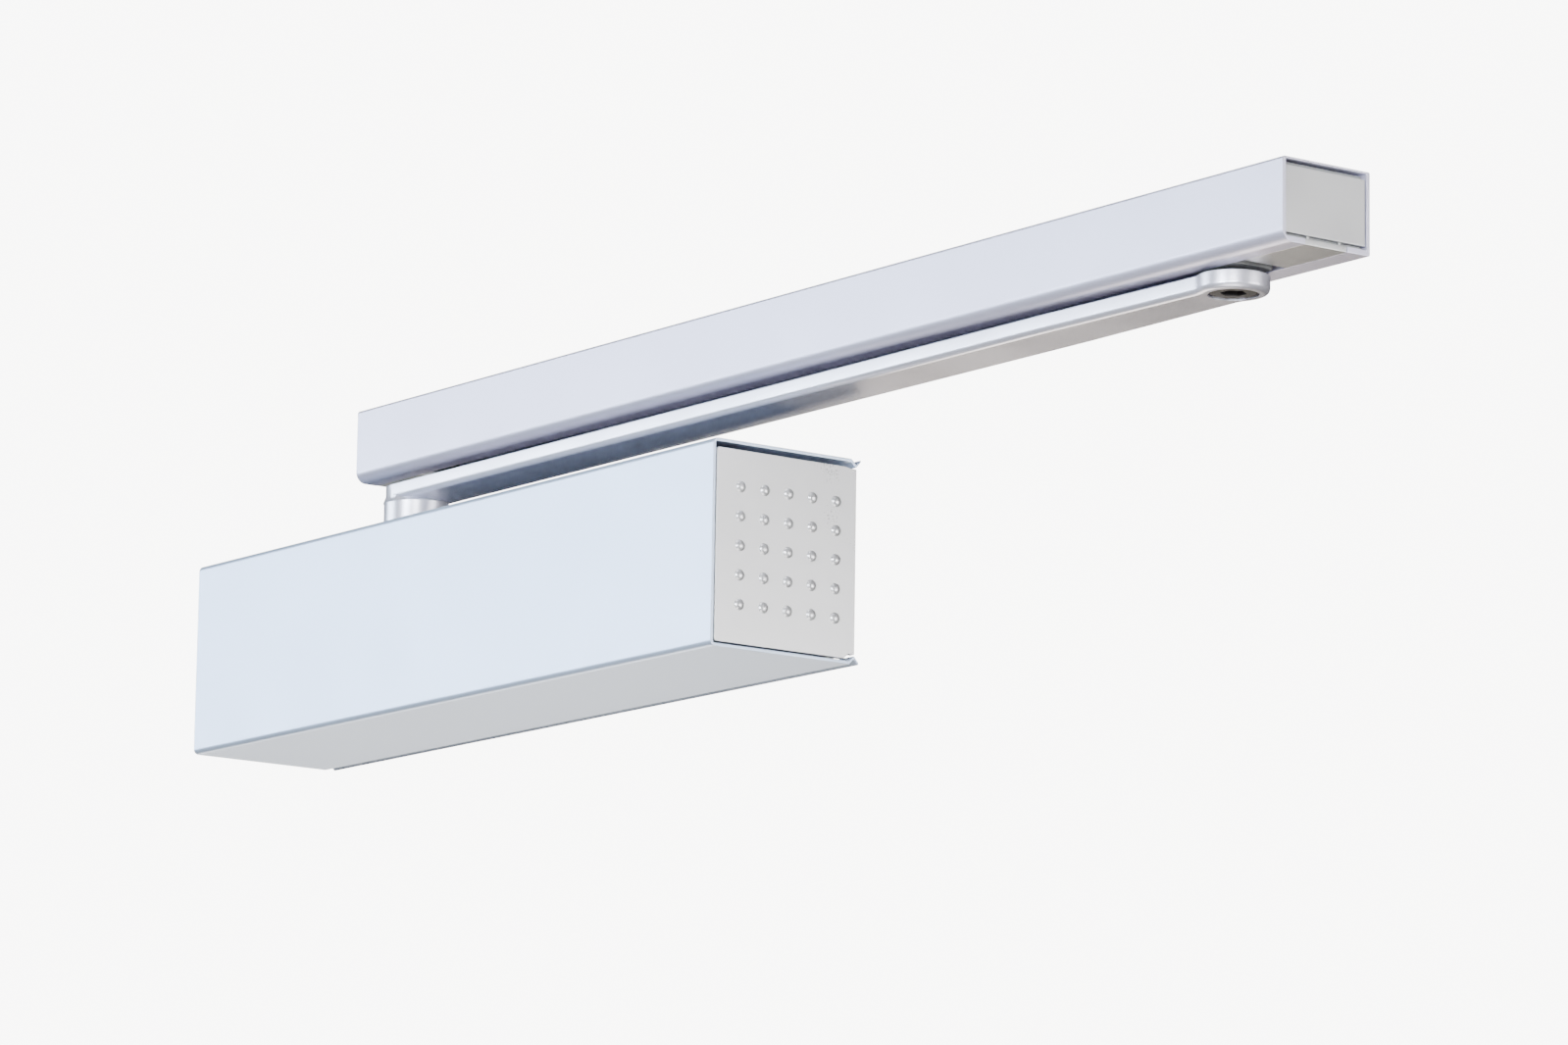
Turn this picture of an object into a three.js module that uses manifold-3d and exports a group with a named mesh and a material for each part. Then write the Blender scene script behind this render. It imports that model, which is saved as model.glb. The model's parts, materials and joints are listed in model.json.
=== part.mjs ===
// A slide-arm door closer: a closer body with a cam and spring mechanism, an arm on its
// spindle, and a guide rail whose slide block the arm's pin pulls along.
// Millimetres. +X runs along the door away from its hinges, -Y points out of the door's
// face, +Z is up. The origin is the centre of the mounting plate's rear face.
import * as THREE from 'three';
import { mergeVertices } from 'three/addons/utils/BufferGeometryUtils.js';
import Module from 'manifold-3d';

const wasm = await Module();
wasm.setup();

// ---- Driving dimensions ----

const gap = 0.3; // clearance between pieces that touch or slide
const cut = 1; // how far a cutting tool reaches past the face it opens

// Cover
const coverLength = 275;
const coverDepth = 53;
const coverHeight = 60;
const coverWall = 1.2;
const coverCornerRadius = 1.6;
const beadWidth = 3.4; // snap bead along the cover's rear edges
const beadDepth = 1.6;
const spindleSlotHalfWidth = 9.2;
const capThickness = 2;
const capRecess = 0.2; // end cap's outer face behind the cover's end
const capTopGap = 1;
const capCornerCut = 2.4; // the end cap's rear corners are cut off to clear the snap beads
const studPitch = 8.5; // grid of studs on the end caps
const studsPerSide = 5;
const studRadius = 1.7;
const studHeight = 0.45;

// Mounting plate
const plateLength = 260;
const plateHeight = 53;
const plateThickness = 3;
const doorHoleX = 81;
const doorHoleZ = 8;
const doorHoleRadius = 3.2;
const doorHoleHeadRadius = 5.6;

// Housing
const housingLength = 256;
const housingHeight = 52;
const housingFront = -49;
const housingRear = -plateThickness - gap;
const housingChamfer = 3;
const boreRadius = 17;
const axisY = -26.5; // the cylinder axis and the spindle axis lie at this depth
const housingScrewX = 121;
const housingScrewZ = 20.5;
const housingScrewRadius = 3;
const housingScrewHeadRadius = 5;
const housingScrewHeadDepth = 6;

// Spindle, cam and bearings
const spindleX = -54.5;
const spindleRadius = 8;
const spindleBottom = -22.2;
const spindleShoulder = 31.3;
const spindleTop = 41.8;
const squareHalf = 5.2;
const chamberRadius = 19.6;
const chamberFloor = -7.3;
const camHalfHeight = 6;
const rollerRadius = 7;
const rollerHalfHeight = 5.7;
const camStartRadius = 14.3; // spindle axis to roller centre at the cam's notch
const camRise = 3.8; // roller travel in millimetres per radian of spindle turn
const axleRadius = 3;
const bearingBore = spindleRadius + gap;
const capRadius = chamberRadius - gap;
const lowerBoreRadius = 12;

// Pistons, springs and plugs, as places along X
const pistonRadius = boreRadius - gap;
const springPistonFrom = -32.5;
const springPistonTo = -8;
const dampingPistonFrom = -106;
const dampingPistonTo = -88.5;
const earInner = 6.4;
const earOuter = 13;
const earRadius = 5;
const earHalfWidth = 8;
const tieRodOffset = 10.5;
const tieRodRadius = 1.6;
const tieRodReach = 8; // how deep each rod sits in a piston
const springFrom = -7.6;
const springTo = 98;
const outerSpring = { radius: 12.6, wire: 2.1, turns: 10, stepsPerTurn: 9 };
const innerSpring = { radius: 7.1, wire: 1.2, turns: 13, stepsPerTurn: 8 };
const springPlateThickness = 4;
const springPlateBossTo = 105.5;
const plugLength = 15;
const plugOuterFace = housingLength / 2;
const sealSection = 0.85;
const sealCentreRadius = 15.8;
const adjusterRadius = 4;
const adjusterFrom = 84;
const adjusterHeadRadius = 6.5;
const adjusterHeadTo = 132;

// Regulating valves
const valveX = { latch_valve: -108, sweep_valve: -97, backcheck_valve: -86 };
const valveZ = -20.5;
const valveRadius = 3;
const valveLength = 11;

// Arm
const pinX = 319.6;
const pinY = -15.2;
const armBottomAtSpindle = 41.6;
const armBottomAtPin = 45.7;
const armThickness = 5;
const armHalfWidth = 9.4;
const armNeckHalfWidth = 8.3;
const armNeckLength = 70;
const hubRadius = 9.9;
const hubBottom = 31.6;
const bossRadius = 9.8;
const recessRadius = 7;
const recessDepth = 3.4;
const pinRadius = 4;
const pinHeadRadius = 6.7;
const pinHeadInset = 0.4;
const pinHeadHeight = 2.7;
const pinTop = 66;
const hexKeyRadius = 3.46; // 6 mm across the flats

// Rail
const railLeft = -83;
const railLength = 440;
const railBottom = 51.8;
const railHeight = 22.8;
const railDepth = 30.4;
const railWall = 1.2;
const railRoof = 0.7;
const railLip = 1.6;
const slotWidth = 14.6;
const railFrontRadius = 3;
const railEdgeRadius = 0.6;
const endBlockLength = 15.1;
const endBlockFront = 1.8; // from the rail's end to the end block's outer face
const railCapThickness = 1.2;
const railCapTopGap = 1.5;
const railCapBottomGap = 0.9;
const railCapFootBottom = 0.1; // above the rail's underside
const railCapFootLength = 24.6;
const bufferThickness = 3;
const slideBlockLength = 30;
const slideNeckLength = 18;

// ---- Finishes ----

const finish = (color, roughness, metalness) => new THREE.MeshStandardMaterial({ color, roughness, metalness });
const coverSilver = finish(0xd4dee8, 0.44, 0.75);
const railSilver = finish(0xd4d6e0, 0.44, 0.75);
const capSilver = finish(0xc9cacc, 0.45, 0.6);
const armSilver = finish(0xdcdfe4, 0.35, 0.7);
const platedSteel = finish(0xb4b8bc, 0.35, 0.9);
const castHousing = finish(0xa3a6a8, 0.6, 0.6);
const hardenedSteel = finish(0x8b8e92, 0.3, 0.95);
const springSteel = finish(0x5c5f63, 0.4, 0.9);
const brass = finish(0xb5924a, 0.35, 0.9);
const blackRubber = finish(0x191919, 0.8, 0);
const greyPlastic = finish(0x8f9295, 0.55, 0);
const darkSteel = finish(0x3a3c3f, 0.45, 0.8);

// ---- Shape helpers ----

// The geometry as a closed solid with its faces pointing outwards.
function solid(geometry) {
  const plain = geometry.index ? geometry.clone() : mergeVertices(geometry.clone());
  plain.deleteAttribute('normal');
  plain.deleteAttribute('uv');
  const merged = mergeVertices(plain, 1e-4);
  const vertProperties = new Float32Array(merged.attributes.position.array);
  const triVerts = new Uint32Array(merged.index.array);
  const build = () => new wasm.Manifold(new wasm.Mesh({ numProp: 3, vertProperties, triVerts }));
  const first = build();
  if (first.volume() > 0) return first;
  for (let i = 0; i < triVerts.length; i += 3) {
    [triVerts[i], triVerts[i + 1]] = [triVerts[i + 1], triVerts[i]];
  }
  return build();
}

function geometryOf(manifold) {
  const mesh = manifold.getMesh();
  const geometry = new THREE.BufferGeometry();
  geometry.setAttribute('position', new THREE.BufferAttribute(new Float32Array(mesh.vertProperties), 3));
  geometry.setIndex(new THREE.BufferAttribute(new Uint32Array(mesh.triVerts), 1));
  geometry.computeVertexNormals();
  return geometry;
}

// One geometry from pieces joined together, less the tools.
function shape(pieces, tools = []) {
  let result = solid(pieces[0]);
  for (const piece of pieces.slice(1)) result = result.add(solid(piece));
  for (const tool of tools) result = result.subtract(solid(tool));
  return geometryOf(result);
}

function common(a, b) {
  return geometryOf(solid(a).intersect(solid(b)));
}

function block([x0, x1], [y0, y1], [z0, z1]) {
  const geometry = new THREE.BoxGeometry(x1 - x0, y1 - y0, z1 - z0);
  return geometry.translate((x0 + x1) / 2, (y0 + y1) / 2, (z0 + z1) / 2);
}

// Round bars along each axis, from their low end to their high end.
function barX(radius, [x0, x1], y = 0, z = 0, sides = 24, endRadius = radius) {
  const geometry = new THREE.CylinderGeometry(endRadius, radius, x1 - x0, sides);
  return geometry.rotateZ(-Math.PI / 2).translate((x0 + x1) / 2, y, z);
}

function barY(radius, [y0, y1], x = 0, z = 0, sides = 16, endRadius = radius) {
  const geometry = new THREE.CylinderGeometry(endRadius, radius, y1 - y0, sides);
  return geometry.translate(x, (y0 + y1) / 2, z);
}

function barZ(radius, [z0, z1], x = 0, y = 0, sides = 24, endRadius = radius) {
  const geometry = new THREE.CylinderGeometry(endRadius, radius, z1 - z0, sides);
  return geometry.rotateX(Math.PI / 2).translate(x, y, (z0 + z1) / 2);
}

// A body of revolution about Z or X from [radius, place] points that close on themselves.
function turned(points, sides = 24) {
  const closed = [...points, points[0]].map(([radius, place]) => new THREE.Vector2(radius, place));
  return new THREE.LatheGeometry(closed, sides);
}

const turnedZ = (points, sides) => shape([turned(points, sides).rotateX(Math.PI / 2)]);
const turnedX = (points, sides) => shape([turned(points, sides).rotateZ(-Math.PI / 2)]);

function ring(outer, inner, from, to) {
  return [[outer, from], [outer, to], [inner, to], [inner, from]];
}

// An outline in the YZ plane, extruded along X.
function extrudedX(outline, [x0, x1]) {
  const geometry = new THREE.ExtrudeGeometry(outline, { depth: x1 - x0, bevelEnabled: false, curveSegments: 4 });
  const alongX = new THREE.Matrix4().makeBasis(
    new THREE.Vector3(0, 1, 0),
    new THREE.Vector3(0, 0, 1),
    new THREE.Vector3(1, 0, 0),
  );
  return geometry.applyMatrix4(alongX).translate(x0, 0, 0);
}

// A closed outline through points [u, v, corner radius], with round corners as arcs.
function roundedOutline(points) {
  const outline = new THREE.Shape();
  const count = points.length;
  const corner = (i) => new THREE.Vector2(...points[(i + count) % count].slice(0, 2));
  const step = (from, to, distance) => {
    const direction = to.clone().sub(from).normalize();
    return from.clone().addScaledVector(direction, distance);
  };
  points.forEach(([u, v, radius = 0], i) => {
    const here = new THREE.Vector2(u, v);
    const enter = step(here, corner(i - 1), radius);
    if (i === 0) outline.moveTo(enter.x, enter.y);
    else outline.lineTo(enter.x, enter.y);
    if (radius > 0) {
      const leave = step(here, corner(i + 1), radius);
      outline.quadraticCurveTo(u, v, leave.x, leave.y);
    }
  });
  outline.closePath();
  return outline;
}

const model = new THREE.Group();

function groupAt(parent, x, y, z, turn = 0) {
  const group = new THREE.Group();
  group.position.set(x, y, z);
  group.rotation.z = turn;
  parent.add(group);
  return group;
}

function addPart(parent, name, geometry, material) {
  const mesh = new THREE.Mesh(geometry, material);
  mesh.name = name;
  parent.add(mesh);
  return mesh;
}

// ---- Mounting plate ----

function mountingPlate() {
  const tools = [];
  for (const sideX of [-1, 1]) {
    for (const sideZ of [-1, 1]) {
      const x = sideX * doorHoleX;
      const z = sideZ * doorHoleZ;
      tools.push(barY(doorHoleRadius, [-plateThickness - cut, cut], x, z));
      const coneTop = doorHoleHeadRadius - doorHoleRadius;
      tools.push(barY(doorHoleHeadRadius, [-plateThickness, -plateThickness + coneTop], x, z, 16, doorHoleRadius));
      const screwHole = housingScrewRadius + gap;
      tools.push(barY(screwHole, [-plateThickness - cut, cut], sideX * housingScrewX, sideZ * housingScrewZ));
    }
  }
  const halfLength = plateLength / 2;
  const halfHeight = plateHeight / 2;
  return shape([block([-halfLength, halfLength], [-plateThickness, 0], [-halfHeight, halfHeight])], tools);
}

addPart(model, 'mounting_plate', mountingPlate(), platedSteel);

// ---- Housing and its screws ----

function housing() {
  const halfLength = housingLength / 2;
  const halfHeight = housingHeight / 2;
  const chamferedBlock = extrudedX(
    new THREE.Shape([
      new THREE.Vector2(housingRear, -halfHeight),
      new THREE.Vector2(housingRear, halfHeight),
      new THREE.Vector2(housingFront + housingChamfer, halfHeight),
      new THREE.Vector2(housingFront, halfHeight - housingChamfer),
      new THREE.Vector2(housingFront, -halfHeight + housingChamfer),
      new THREE.Vector2(housingFront + housingChamfer, -halfHeight),
    ]),
    [-halfLength, halfLength],
  );
  const tools = [
    barX(boreRadius, [-halfLength - cut, halfLength + cut], axisY, 0, 28),
    barZ(chamberRadius, [chamberFloor, halfHeight + cut], spindleX, axisY, 32),
    barZ(lowerBoreRadius, [-halfHeight - cut, chamberFloor], spindleX, axisY, 24),
  ];
  for (const sideX of [-1, 1]) {
    for (const sideZ of [-1, 1]) {
      const x = sideX * housingScrewX;
      const z = sideZ * housingScrewZ;
      const headFloor = housingFront + housingScrewHeadDepth + gap;
      tools.push(barY(housingScrewRadius + gap, [housingFront - cut, 0], x, z, 16));
      tools.push(barY(housingScrewHeadRadius + gap, [housingFront - cut, headFloor], x, z, 16));
    }
  }
  for (const x of Object.values(valveX)) {
    tools.push(barY(valveRadius + gap, [housingFront - cut, housingFront + valveLength + gap], x, valveZ, 16));
  }
  return shape([chamferedBlock], tools);
}

function capScrew() {
  const head = barY(housingScrewHeadRadius, [0, housingScrewHeadDepth]);
  const shankEnd = -housingFront - gap;
  const shank = barY(housingScrewRadius, [housingScrewHeadDepth - cut, shankEnd], 0, 0, 12);
  const socket = barY(2.9, [-cut, 3], 0, 0, 6);
  return shape([head, shank], [socket]);
}

addPart(model, 'housing', housing(), castHousing);
[[-1, -1], [1, -1], [-1, 1], [1, 1]].forEach(([sideX, sideZ], i) => {
  const screw = addPart(model, `housing_screw_${i + 1}`, capScrew(), platedSteel);
  screw.position.set(sideX * housingScrewX, housingFront, sideZ * housingScrewZ);
});

// ---- Regulating valves, set into the housing's front ----

function valve() {
  const tipLength = 3;
  const stem = barY(valveRadius, [0, valveLength - tipLength], 0, 0, 16);
  const tip = barY(valveRadius, [valveLength - tipLength, valveLength], 0, 0, 16, 0.8);
  const slot = block([-valveRadius - cut, valveRadius + cut], [-cut, 1.2], [-0.5, 0.5]);
  return shape([stem, tip], [slot]);
}

for (const [name, x] of Object.entries(valveX)) {
  addPart(model, name, valve(), brass).position.set(x, housingFront, valveZ);
}

// ---- Spindle with its heart cam, bearings and seals, about the spindle axis ----

// The cam's radius in each direction. Its roller centres follow start + rise * |angle|,
// so both rollers move in step and the pistons travel evenly with the spindle's turn.
function camRadius(direction) {
  const clearRadius = rollerRadius + gap;
  const steps = 360;
  let radius = Infinity;
  for (let i = 0; i < steps; i += 1) {
    const angle = -Math.PI + (2 * Math.PI * i) / steps;
    const centre = camStartRadius + camRise * Math.abs(angle);
    const side = centre * Math.sin(direction - angle);
    const along = centre * Math.cos(direction - angle);
    if (along > 0 && Math.abs(side) < clearRadius) {
      radius = Math.min(radius, along - Math.sqrt(clearRadius ** 2 - side ** 2));
    }
  }
  return radius;
}

function camSpindle() {
  const camPoints = [];
  const count = 60;
  for (let i = 0; i < count; i += 1) {
    const direction = (2 * Math.PI * i) / count;
    const wrapped = direction > Math.PI ? direction - 2 * Math.PI : direction;
    const radius = camRadius(wrapped);
    camPoints.push(new THREE.Vector2(radius * Math.cos(direction), radius * Math.sin(direction)));
  }
  const camOptions = { depth: 2 * camHalfHeight, bevelEnabled: false };
  const cam = new THREE.ExtrudeGeometry(new THREE.Shape(camPoints), camOptions).translate(0, 0, -camHalfHeight);
  const lowerShaft = barZ(spindleRadius, [spindleBottom, -camHalfHeight + 0.2]);
  const upperShaft = barZ(spindleRadius, [camHalfHeight - 0.2, spindleShoulder]);
  const side = [-squareHalf, squareHalf];
  const square = block(side, side, [spindleShoulder - cut, spindleTop]);
  const screwHole = barZ(3.6, [22, spindleTop + cut], 0, 0, 16);
  return shape([cam, lowerShaft, upperShaft, square], [screwHole]);
}

const topFace = housingHeight / 2;
const bearingSeat = { from: 14.5, to: 21.5, radius: 13 };
const sealSeatRadius = 11.3;

function upperCap() {
  const body = turned([
    [capRadius, bearingSeat.from],
    [capRadius, topFace],
    [sealSeatRadius, topFace],
    [sealSeatRadius, bearingSeat.to],
    [bearingSeat.radius, bearingSeat.to],
    [bearingSeat.radius, bearingSeat.from],
  ], 32).rotateX(Math.PI / 2);
  const spannerHoles = [-1, 1].map((side) => barZ(1.6, [topFace - 4, topFace + cut], side * 15.3, 0, 12));
  return shape([body], spannerHoles);
}

function lowerCap() {
  const disc = barZ(lowerBoreRadius - gap, [-topFace, -22.8]);
  const socket = barZ(5, [-topFace - cut, -24.4], 0, 0, 6);
  return shape([disc], [socket]);
}

const spindleGroup = groupAt(model, spindleX, axisY, 0);
addPart(spindleGroup, 'cam_spindle', camSpindle(), hardenedSteel);
addPart(spindleGroup, 'upper_bearing_cap', upperCap(), platedSteel);
const upperBearing = ring(bearingSeat.radius - gap, bearingBore, bearingSeat.from + gap, bearingSeat.to - gap);
addPart(spindleGroup, 'upper_bearing', turnedZ(upperBearing), hardenedSteel);
const spindleSeal = ring(sealSeatRadius - gap, bearingBore, bearingSeat.to + gap, topFace - 0.4);
addPart(spindleGroup, 'spindle_seal', turnedZ(spindleSeal), blackRubber);
const lowerBearing = ring(lowerBoreRadius - gap, bearingBore, -22.5, -14.3);
addPart(spindleGroup, 'lower_bearing', turnedZ(lowerBearing), hardenedSteel);
addPart(spindleGroup, 'lower_bearing_cap', lowerCap(), platedSteel);

// ---- Pistons, rollers and tie rods, about the cylinder axis ----

const springRollerX = spindleX + camStartRadius;
const dampingRollerX = spindleX - camStartRadius - camRise * Math.PI;
const rodPlaces = [[-tieRodOffset, tieRodOffset], [tieRodOffset, -tieRodOffset]];

// A piston's fork: two ears that hold a roller's axle, one above and one below it.
function ears(rollerX, baseX) {
  const span = [Math.min(rollerX, baseX), Math.max(rollerX, baseX)];
  const toward = Math.sign(baseX - rollerX);
  span[toward > 0 ? 1 : 0] += toward * cut;
  const envelope = barX(pistonRadius, [span[0] - earRadius, span[1] + earRadius], 0, 0, 28);
  return [1, -1].map((side) => {
    const heights = [side * earInner, side * earOuter].sort((a, b) => a - b);
    const arm = block(span, [-earHalfWidth, earHalfWidth], heights);
    const roundEnd = barZ(earRadius, heights, rollerX, 0, 16);
    return common(shape([arm, roundEnd]), envelope);
  });
}

function rodHoles(from, to) {
  return rodPlaces.map(([y, z]) => barX(tieRodRadius + gap, [from, to], y, z, 12));
}

function springPiston() {
  const body = barX(pistonRadius, [springPistonFrom, springPistonTo], 0, 0, 28);
  const axleHole = barZ(axleRadius + gap, [-20, 20], springRollerX, 0, 20);
  const hollow = barX(6, [springPistonFrom + 10, springPistonTo + cut], 0, 0, 24);
  const rods = rodHoles(springPistonFrom - cut, springPistonFrom + tieRodReach + gap);
  return shape([body, ...ears(springRollerX, springPistonFrom)], [axleHole, hollow, ...rods]);
}

const ringGroove = [-101.8, -98.6];
const checkValveRadius = 3;

function dampingPiston() {
  const body = barX(pistonRadius, [dampingPistonFrom, dampingPistonTo], 0, 0, 28);
  const axleHole = barZ(axleRadius + gap, [-20, 20], dampingRollerX, 0, 20);
  const oilPassage = barX(checkValveRadius + gap, [dampingPistonFrom - cut, dampingPistonTo + cut], 0, 0, 16);
  const groove = turned(ring(pistonRadius + cut, 14.9, ringGroove[0], ringGroove[1]), 28).rotateZ(-Math.PI / 2);
  const rods = rodHoles(dampingPistonTo - tieRodReach - gap, dampingPistonTo + cut);
  return shape([body, ...ears(dampingRollerX, dampingPistonTo)], [axleHole, oilPassage, groove, ...rods]);
}

function tieRod([y, z]) {
  return barX(tieRodRadius, [dampingPistonTo - tieRodReach, springPistonFrom + tieRodReach], y, z, 12);
}

function roller() {
  return turnedZ(ring(rollerRadius, axleRadius + gap, -rollerHalfHeight, rollerHalfHeight), 24);
}

const axle = () => barZ(axleRadius, [-earOuter + 0.4, earOuter - 0.4], 0, 0, 20);

const cylinderGroup = groupAt(model, 0, axisY, 0);
addPart(cylinderGroup, 'spring_piston', springPiston(), hardenedSteel);
addPart(cylinderGroup, 'damping_piston', dampingPiston(), hardenedSteel);
addPart(cylinderGroup, 'front_tie_rod', tieRod(rodPlaces[0]), platedSteel);
addPart(cylinderGroup, 'rear_tie_rod', tieRod(rodPlaces[1]), platedSteel);
addPart(cylinderGroup, 'spring_roller', roller(), hardenedSteel).position.x = springRollerX;
addPart(cylinderGroup, 'damping_roller', roller(), hardenedSteel).position.x = dampingRollerX;
addPart(cylinderGroup, 'spring_roller_axle', axle(), platedSteel).position.x = springRollerX;
addPart(cylinderGroup, 'damping_roller_axle', axle(), platedSteel).position.x = dampingRollerX;
const pistonRing = ring(pistonRadius, 15.2, ringGroove[0] + gap, ringGroove[1] - gap);
addPart(cylinderGroup, 'piston_ring', turnedX(pistonRing, 28), greyPlastic);
const checkValve = barX(checkValveRadius, [dampingPistonFrom + 0.5, dampingPistonFrom + 9], 0, 0, 16);
addPart(cylinderGroup, 'check_valve', checkValve, brass);

// ---- Springs, spring plate, adjuster and end plugs ----

class Coil extends THREE.Curve {
  constructor(radius, turns, from, to) {
    super();
    Object.assign(this, { radius, turns, from, to });
  }

  getPoint(t) {
    const angle = 2 * Math.PI * this.turns * t;
    const x = this.from + (this.to - this.from) * t;
    return new THREE.Vector3(x, this.radius * Math.cos(angle), this.radius * Math.sin(angle));
  }
}

function spring({ radius, wire, turns, stepsPerTurn }) {
  const sides = 5;
  const section = new THREE.Shape();
  for (let i = 0; i < sides; i += 1) {
    const angle = (2 * Math.PI * i) / sides;
    const point = [wire * Math.cos(angle), wire * Math.sin(angle)];
    if (i === 0) section.moveTo(...point);
    else section.lineTo(...point);
  }
  const path = new Coil(radius, turns, springFrom + wire, springTo - wire);
  return new THREE.ExtrudeGeometry(section, { steps: turns * stepsPerTurn, extrudePath: path });
}

function springPlate() {
  const disc = barX(pistonRadius, [springTo + gap, springTo + gap + springPlateThickness], 0, 0, 28);
  const boss = barX(8, [springTo + 1, springPlateBossTo], 0, 0, 24);
  const threadHole = barX(adjusterRadius + gap, [springTo - cut, springPlateBossTo + cut], 0, 0, 20);
  return shape([disc, boss], [threadHole]);
}

function adjuster() {
  const rod = barX(adjusterRadius, [adjusterFrom, adjusterHeadTo - 1], 0, 0, 20);
  const head = barX(adjusterHeadRadius, [plugOuterFace + gap, adjusterHeadTo], 0, 0, 24);
  const socket = barX(hexKeyRadius, [adjusterHeadTo - 2.6, adjusterHeadTo + cut], 0, 0, 6);
  return shape([rod, head], [socket]);
}

// An end plug made for the right end, with a seal groove and two spanner holes.
function endPlug(centreHole) {
  const inner = plugOuterFace - plugLength;
  const tools = [-1, 1].map((side) => barX(1.8, [plugOuterFace - 5, plugOuterFace + cut], 0, side * 11, 12));
  const sealX = inner + 3;
  const groove = ring(pistonRadius + cut, sealCentreRadius - sealSection - gap, sealX - 1.2, sealX + 1.2);
  tools.push(turned(groove, 28).rotateZ(-Math.PI / 2));
  if (centreHole) tools.push(barX(adjusterRadius + gap, [inner - cut, plugOuterFace + cut], 0, 0, 20));
  else tools.push(barX(4.6, [plugOuterFace - 5, plugOuterFace + cut], 0, 0, 6));
  return shape([barX(pistonRadius, [inner, plugOuterFace], 0, 0, 28)], tools);
}

function plugSeal() {
  const sides = 6;
  const points = [];
  for (let i = 0; i < sides; i += 1) {
    const angle = (2 * Math.PI * (i + 0.5)) / sides;
    const place = plugOuterFace - plugLength + 3 + sealSection * Math.sin(angle);
    points.push([sealCentreRadius + sealSection * Math.cos(angle), place]);
  }
  return turnedX(points, 28);
}

addPart(cylinderGroup, 'outer_spring', spring(outerSpring), springSteel);
addPart(cylinderGroup, 'inner_spring', spring(innerSpring), springSteel);
addPart(cylinderGroup, 'spring_plate', springPlate(), hardenedSteel);
addPart(cylinderGroup, 'spring_adjuster', adjuster(), platedSteel);
addPart(cylinderGroup, 'spring_end_plug', endPlug(true), platedSteel);
addPart(cylinderGroup, 'spring_plug_seal', plugSeal(), blackRubber);
const leftEnd = groupAt(cylinderGroup, 0, 0, 0, Math.PI);
addPart(leftEnd, 'damping_end_plug', endPlug(false), platedSteel);
addPart(leftEnd, 'damping_plug_seal', plugSeal(), blackRubber);

// ---- Cover ----

function coverOutline() {
  const halfHeight = coverHeight / 2;
  const innerHeight = halfHeight - coverWall;
  const beadMiddle = -beadWidth / 2 - gap;
  const upper = [
    [-coverDepth, halfHeight, coverCornerRadius],
    [-beadWidth - gap, halfHeight],
    [beadMiddle, halfHeight - beadDepth],
    [-gap, halfHeight],
    [-gap, innerHeight + 0.4],
    [beadMiddle, innerHeight - beadDepth],
    [-beadWidth - 2 * gap, innerHeight],
    [-coverDepth + coverWall, innerHeight, 0.5],
  ];
  const lower = upper.map(([y, z, radius]) => [y, -z, radius]).reverse();
  return roundedOutline([...upper, ...lower]);
}

function coverProfile() {
  const halfLength = coverLength / 2;
  const slotFront = axisY - spindleSlotHalfWidth;
  const heights = [coverHeight / 2 - 5, coverHeight / 2 + cut];
  const slotWidthX = [spindleX - spindleSlotHalfWidth, spindleX + spindleSlotHalfWidth];
  const slot = block(slotWidthX, [axisY, cut], heights);
  const slotEnd = barZ(spindleSlotHalfWidth, heights, spindleX, axisY, 28);
  const opening = common(shape([slot, slotEnd]), block(slotWidthX, [slotFront - cut, cut], heights));
  return shape([extrudedX(coverOutline(), [-halfLength, halfLength])], [opening]);
}

// The right end cap: a plate with a square grid of studs outside and two clips inside.
function coverEndCap() {
  const outer = coverLength / 2 - capRecess;
  const inner = outer - capThickness;
  const front = -coverDepth + coverWall + gap;
  const rear = -beadWidth / 2;
  const top = coverHeight / 2 - coverWall - capTopGap;
  const bottom = -coverHeight / 2 + coverWall + gap;
  const clipSpan = [inner - 5, inner + cut];
  const plateOutline = roundedOutline([
    [front, bottom],
    [front, top],
    [rear - capCornerCut, top],
    [rear, top - capCornerCut],
    [rear, bottom + capCornerCut],
    [rear - capCornerCut, bottom],
  ]);
  const pieces = [
    extrudedX(plateOutline, [inner, outer]),
    block(clipSpan, [-42, -12], [top - 1.6, top]),
    block(clipSpan, [-42, -12], [bottom, bottom + 1.6]),
  ];
  const half = (studsPerSide - 1) / 2;
  for (let row = -half; row <= half; row += 1) {
    for (let column = -half; column <= half; column += 1) {
      const y = axisY + 0.5 + column * studPitch;
      const z = row * studPitch - 0.2;
      pieces.push(barX(studRadius, [outer - 0.4, outer + studHeight], y, z, 6, studRadius * 0.55));
    }
  }
  return shape(pieces);
}

// The left end cap is the right one mirrored in X.
function mirroredX(geometry) {
  return shape([geometry.clone().applyMatrix4(new THREE.Matrix4().makeScale(-1, 1, 1))]);
}

addPart(model, 'cover_profile', coverProfile(), coverSilver);
addPart(model, 'cover_end_cap_right', coverEndCap(), capSilver);
addPart(model, 'cover_end_cap_left', mirroredX(coverEndCap()), capSilver);

// ---- Arm, in its own frame: X runs from the spindle axis to the pin ----

const armLength = Math.hypot(pinX - spindleX, pinY - axisY);
const armTurn = Math.atan2(pinY - axisY, pinX - spindleX);
const armRise = (armBottomAtPin - armBottomAtSpindle) / armLength;
const armTopAtSpindle = armBottomAtSpindle + armThickness;

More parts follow.
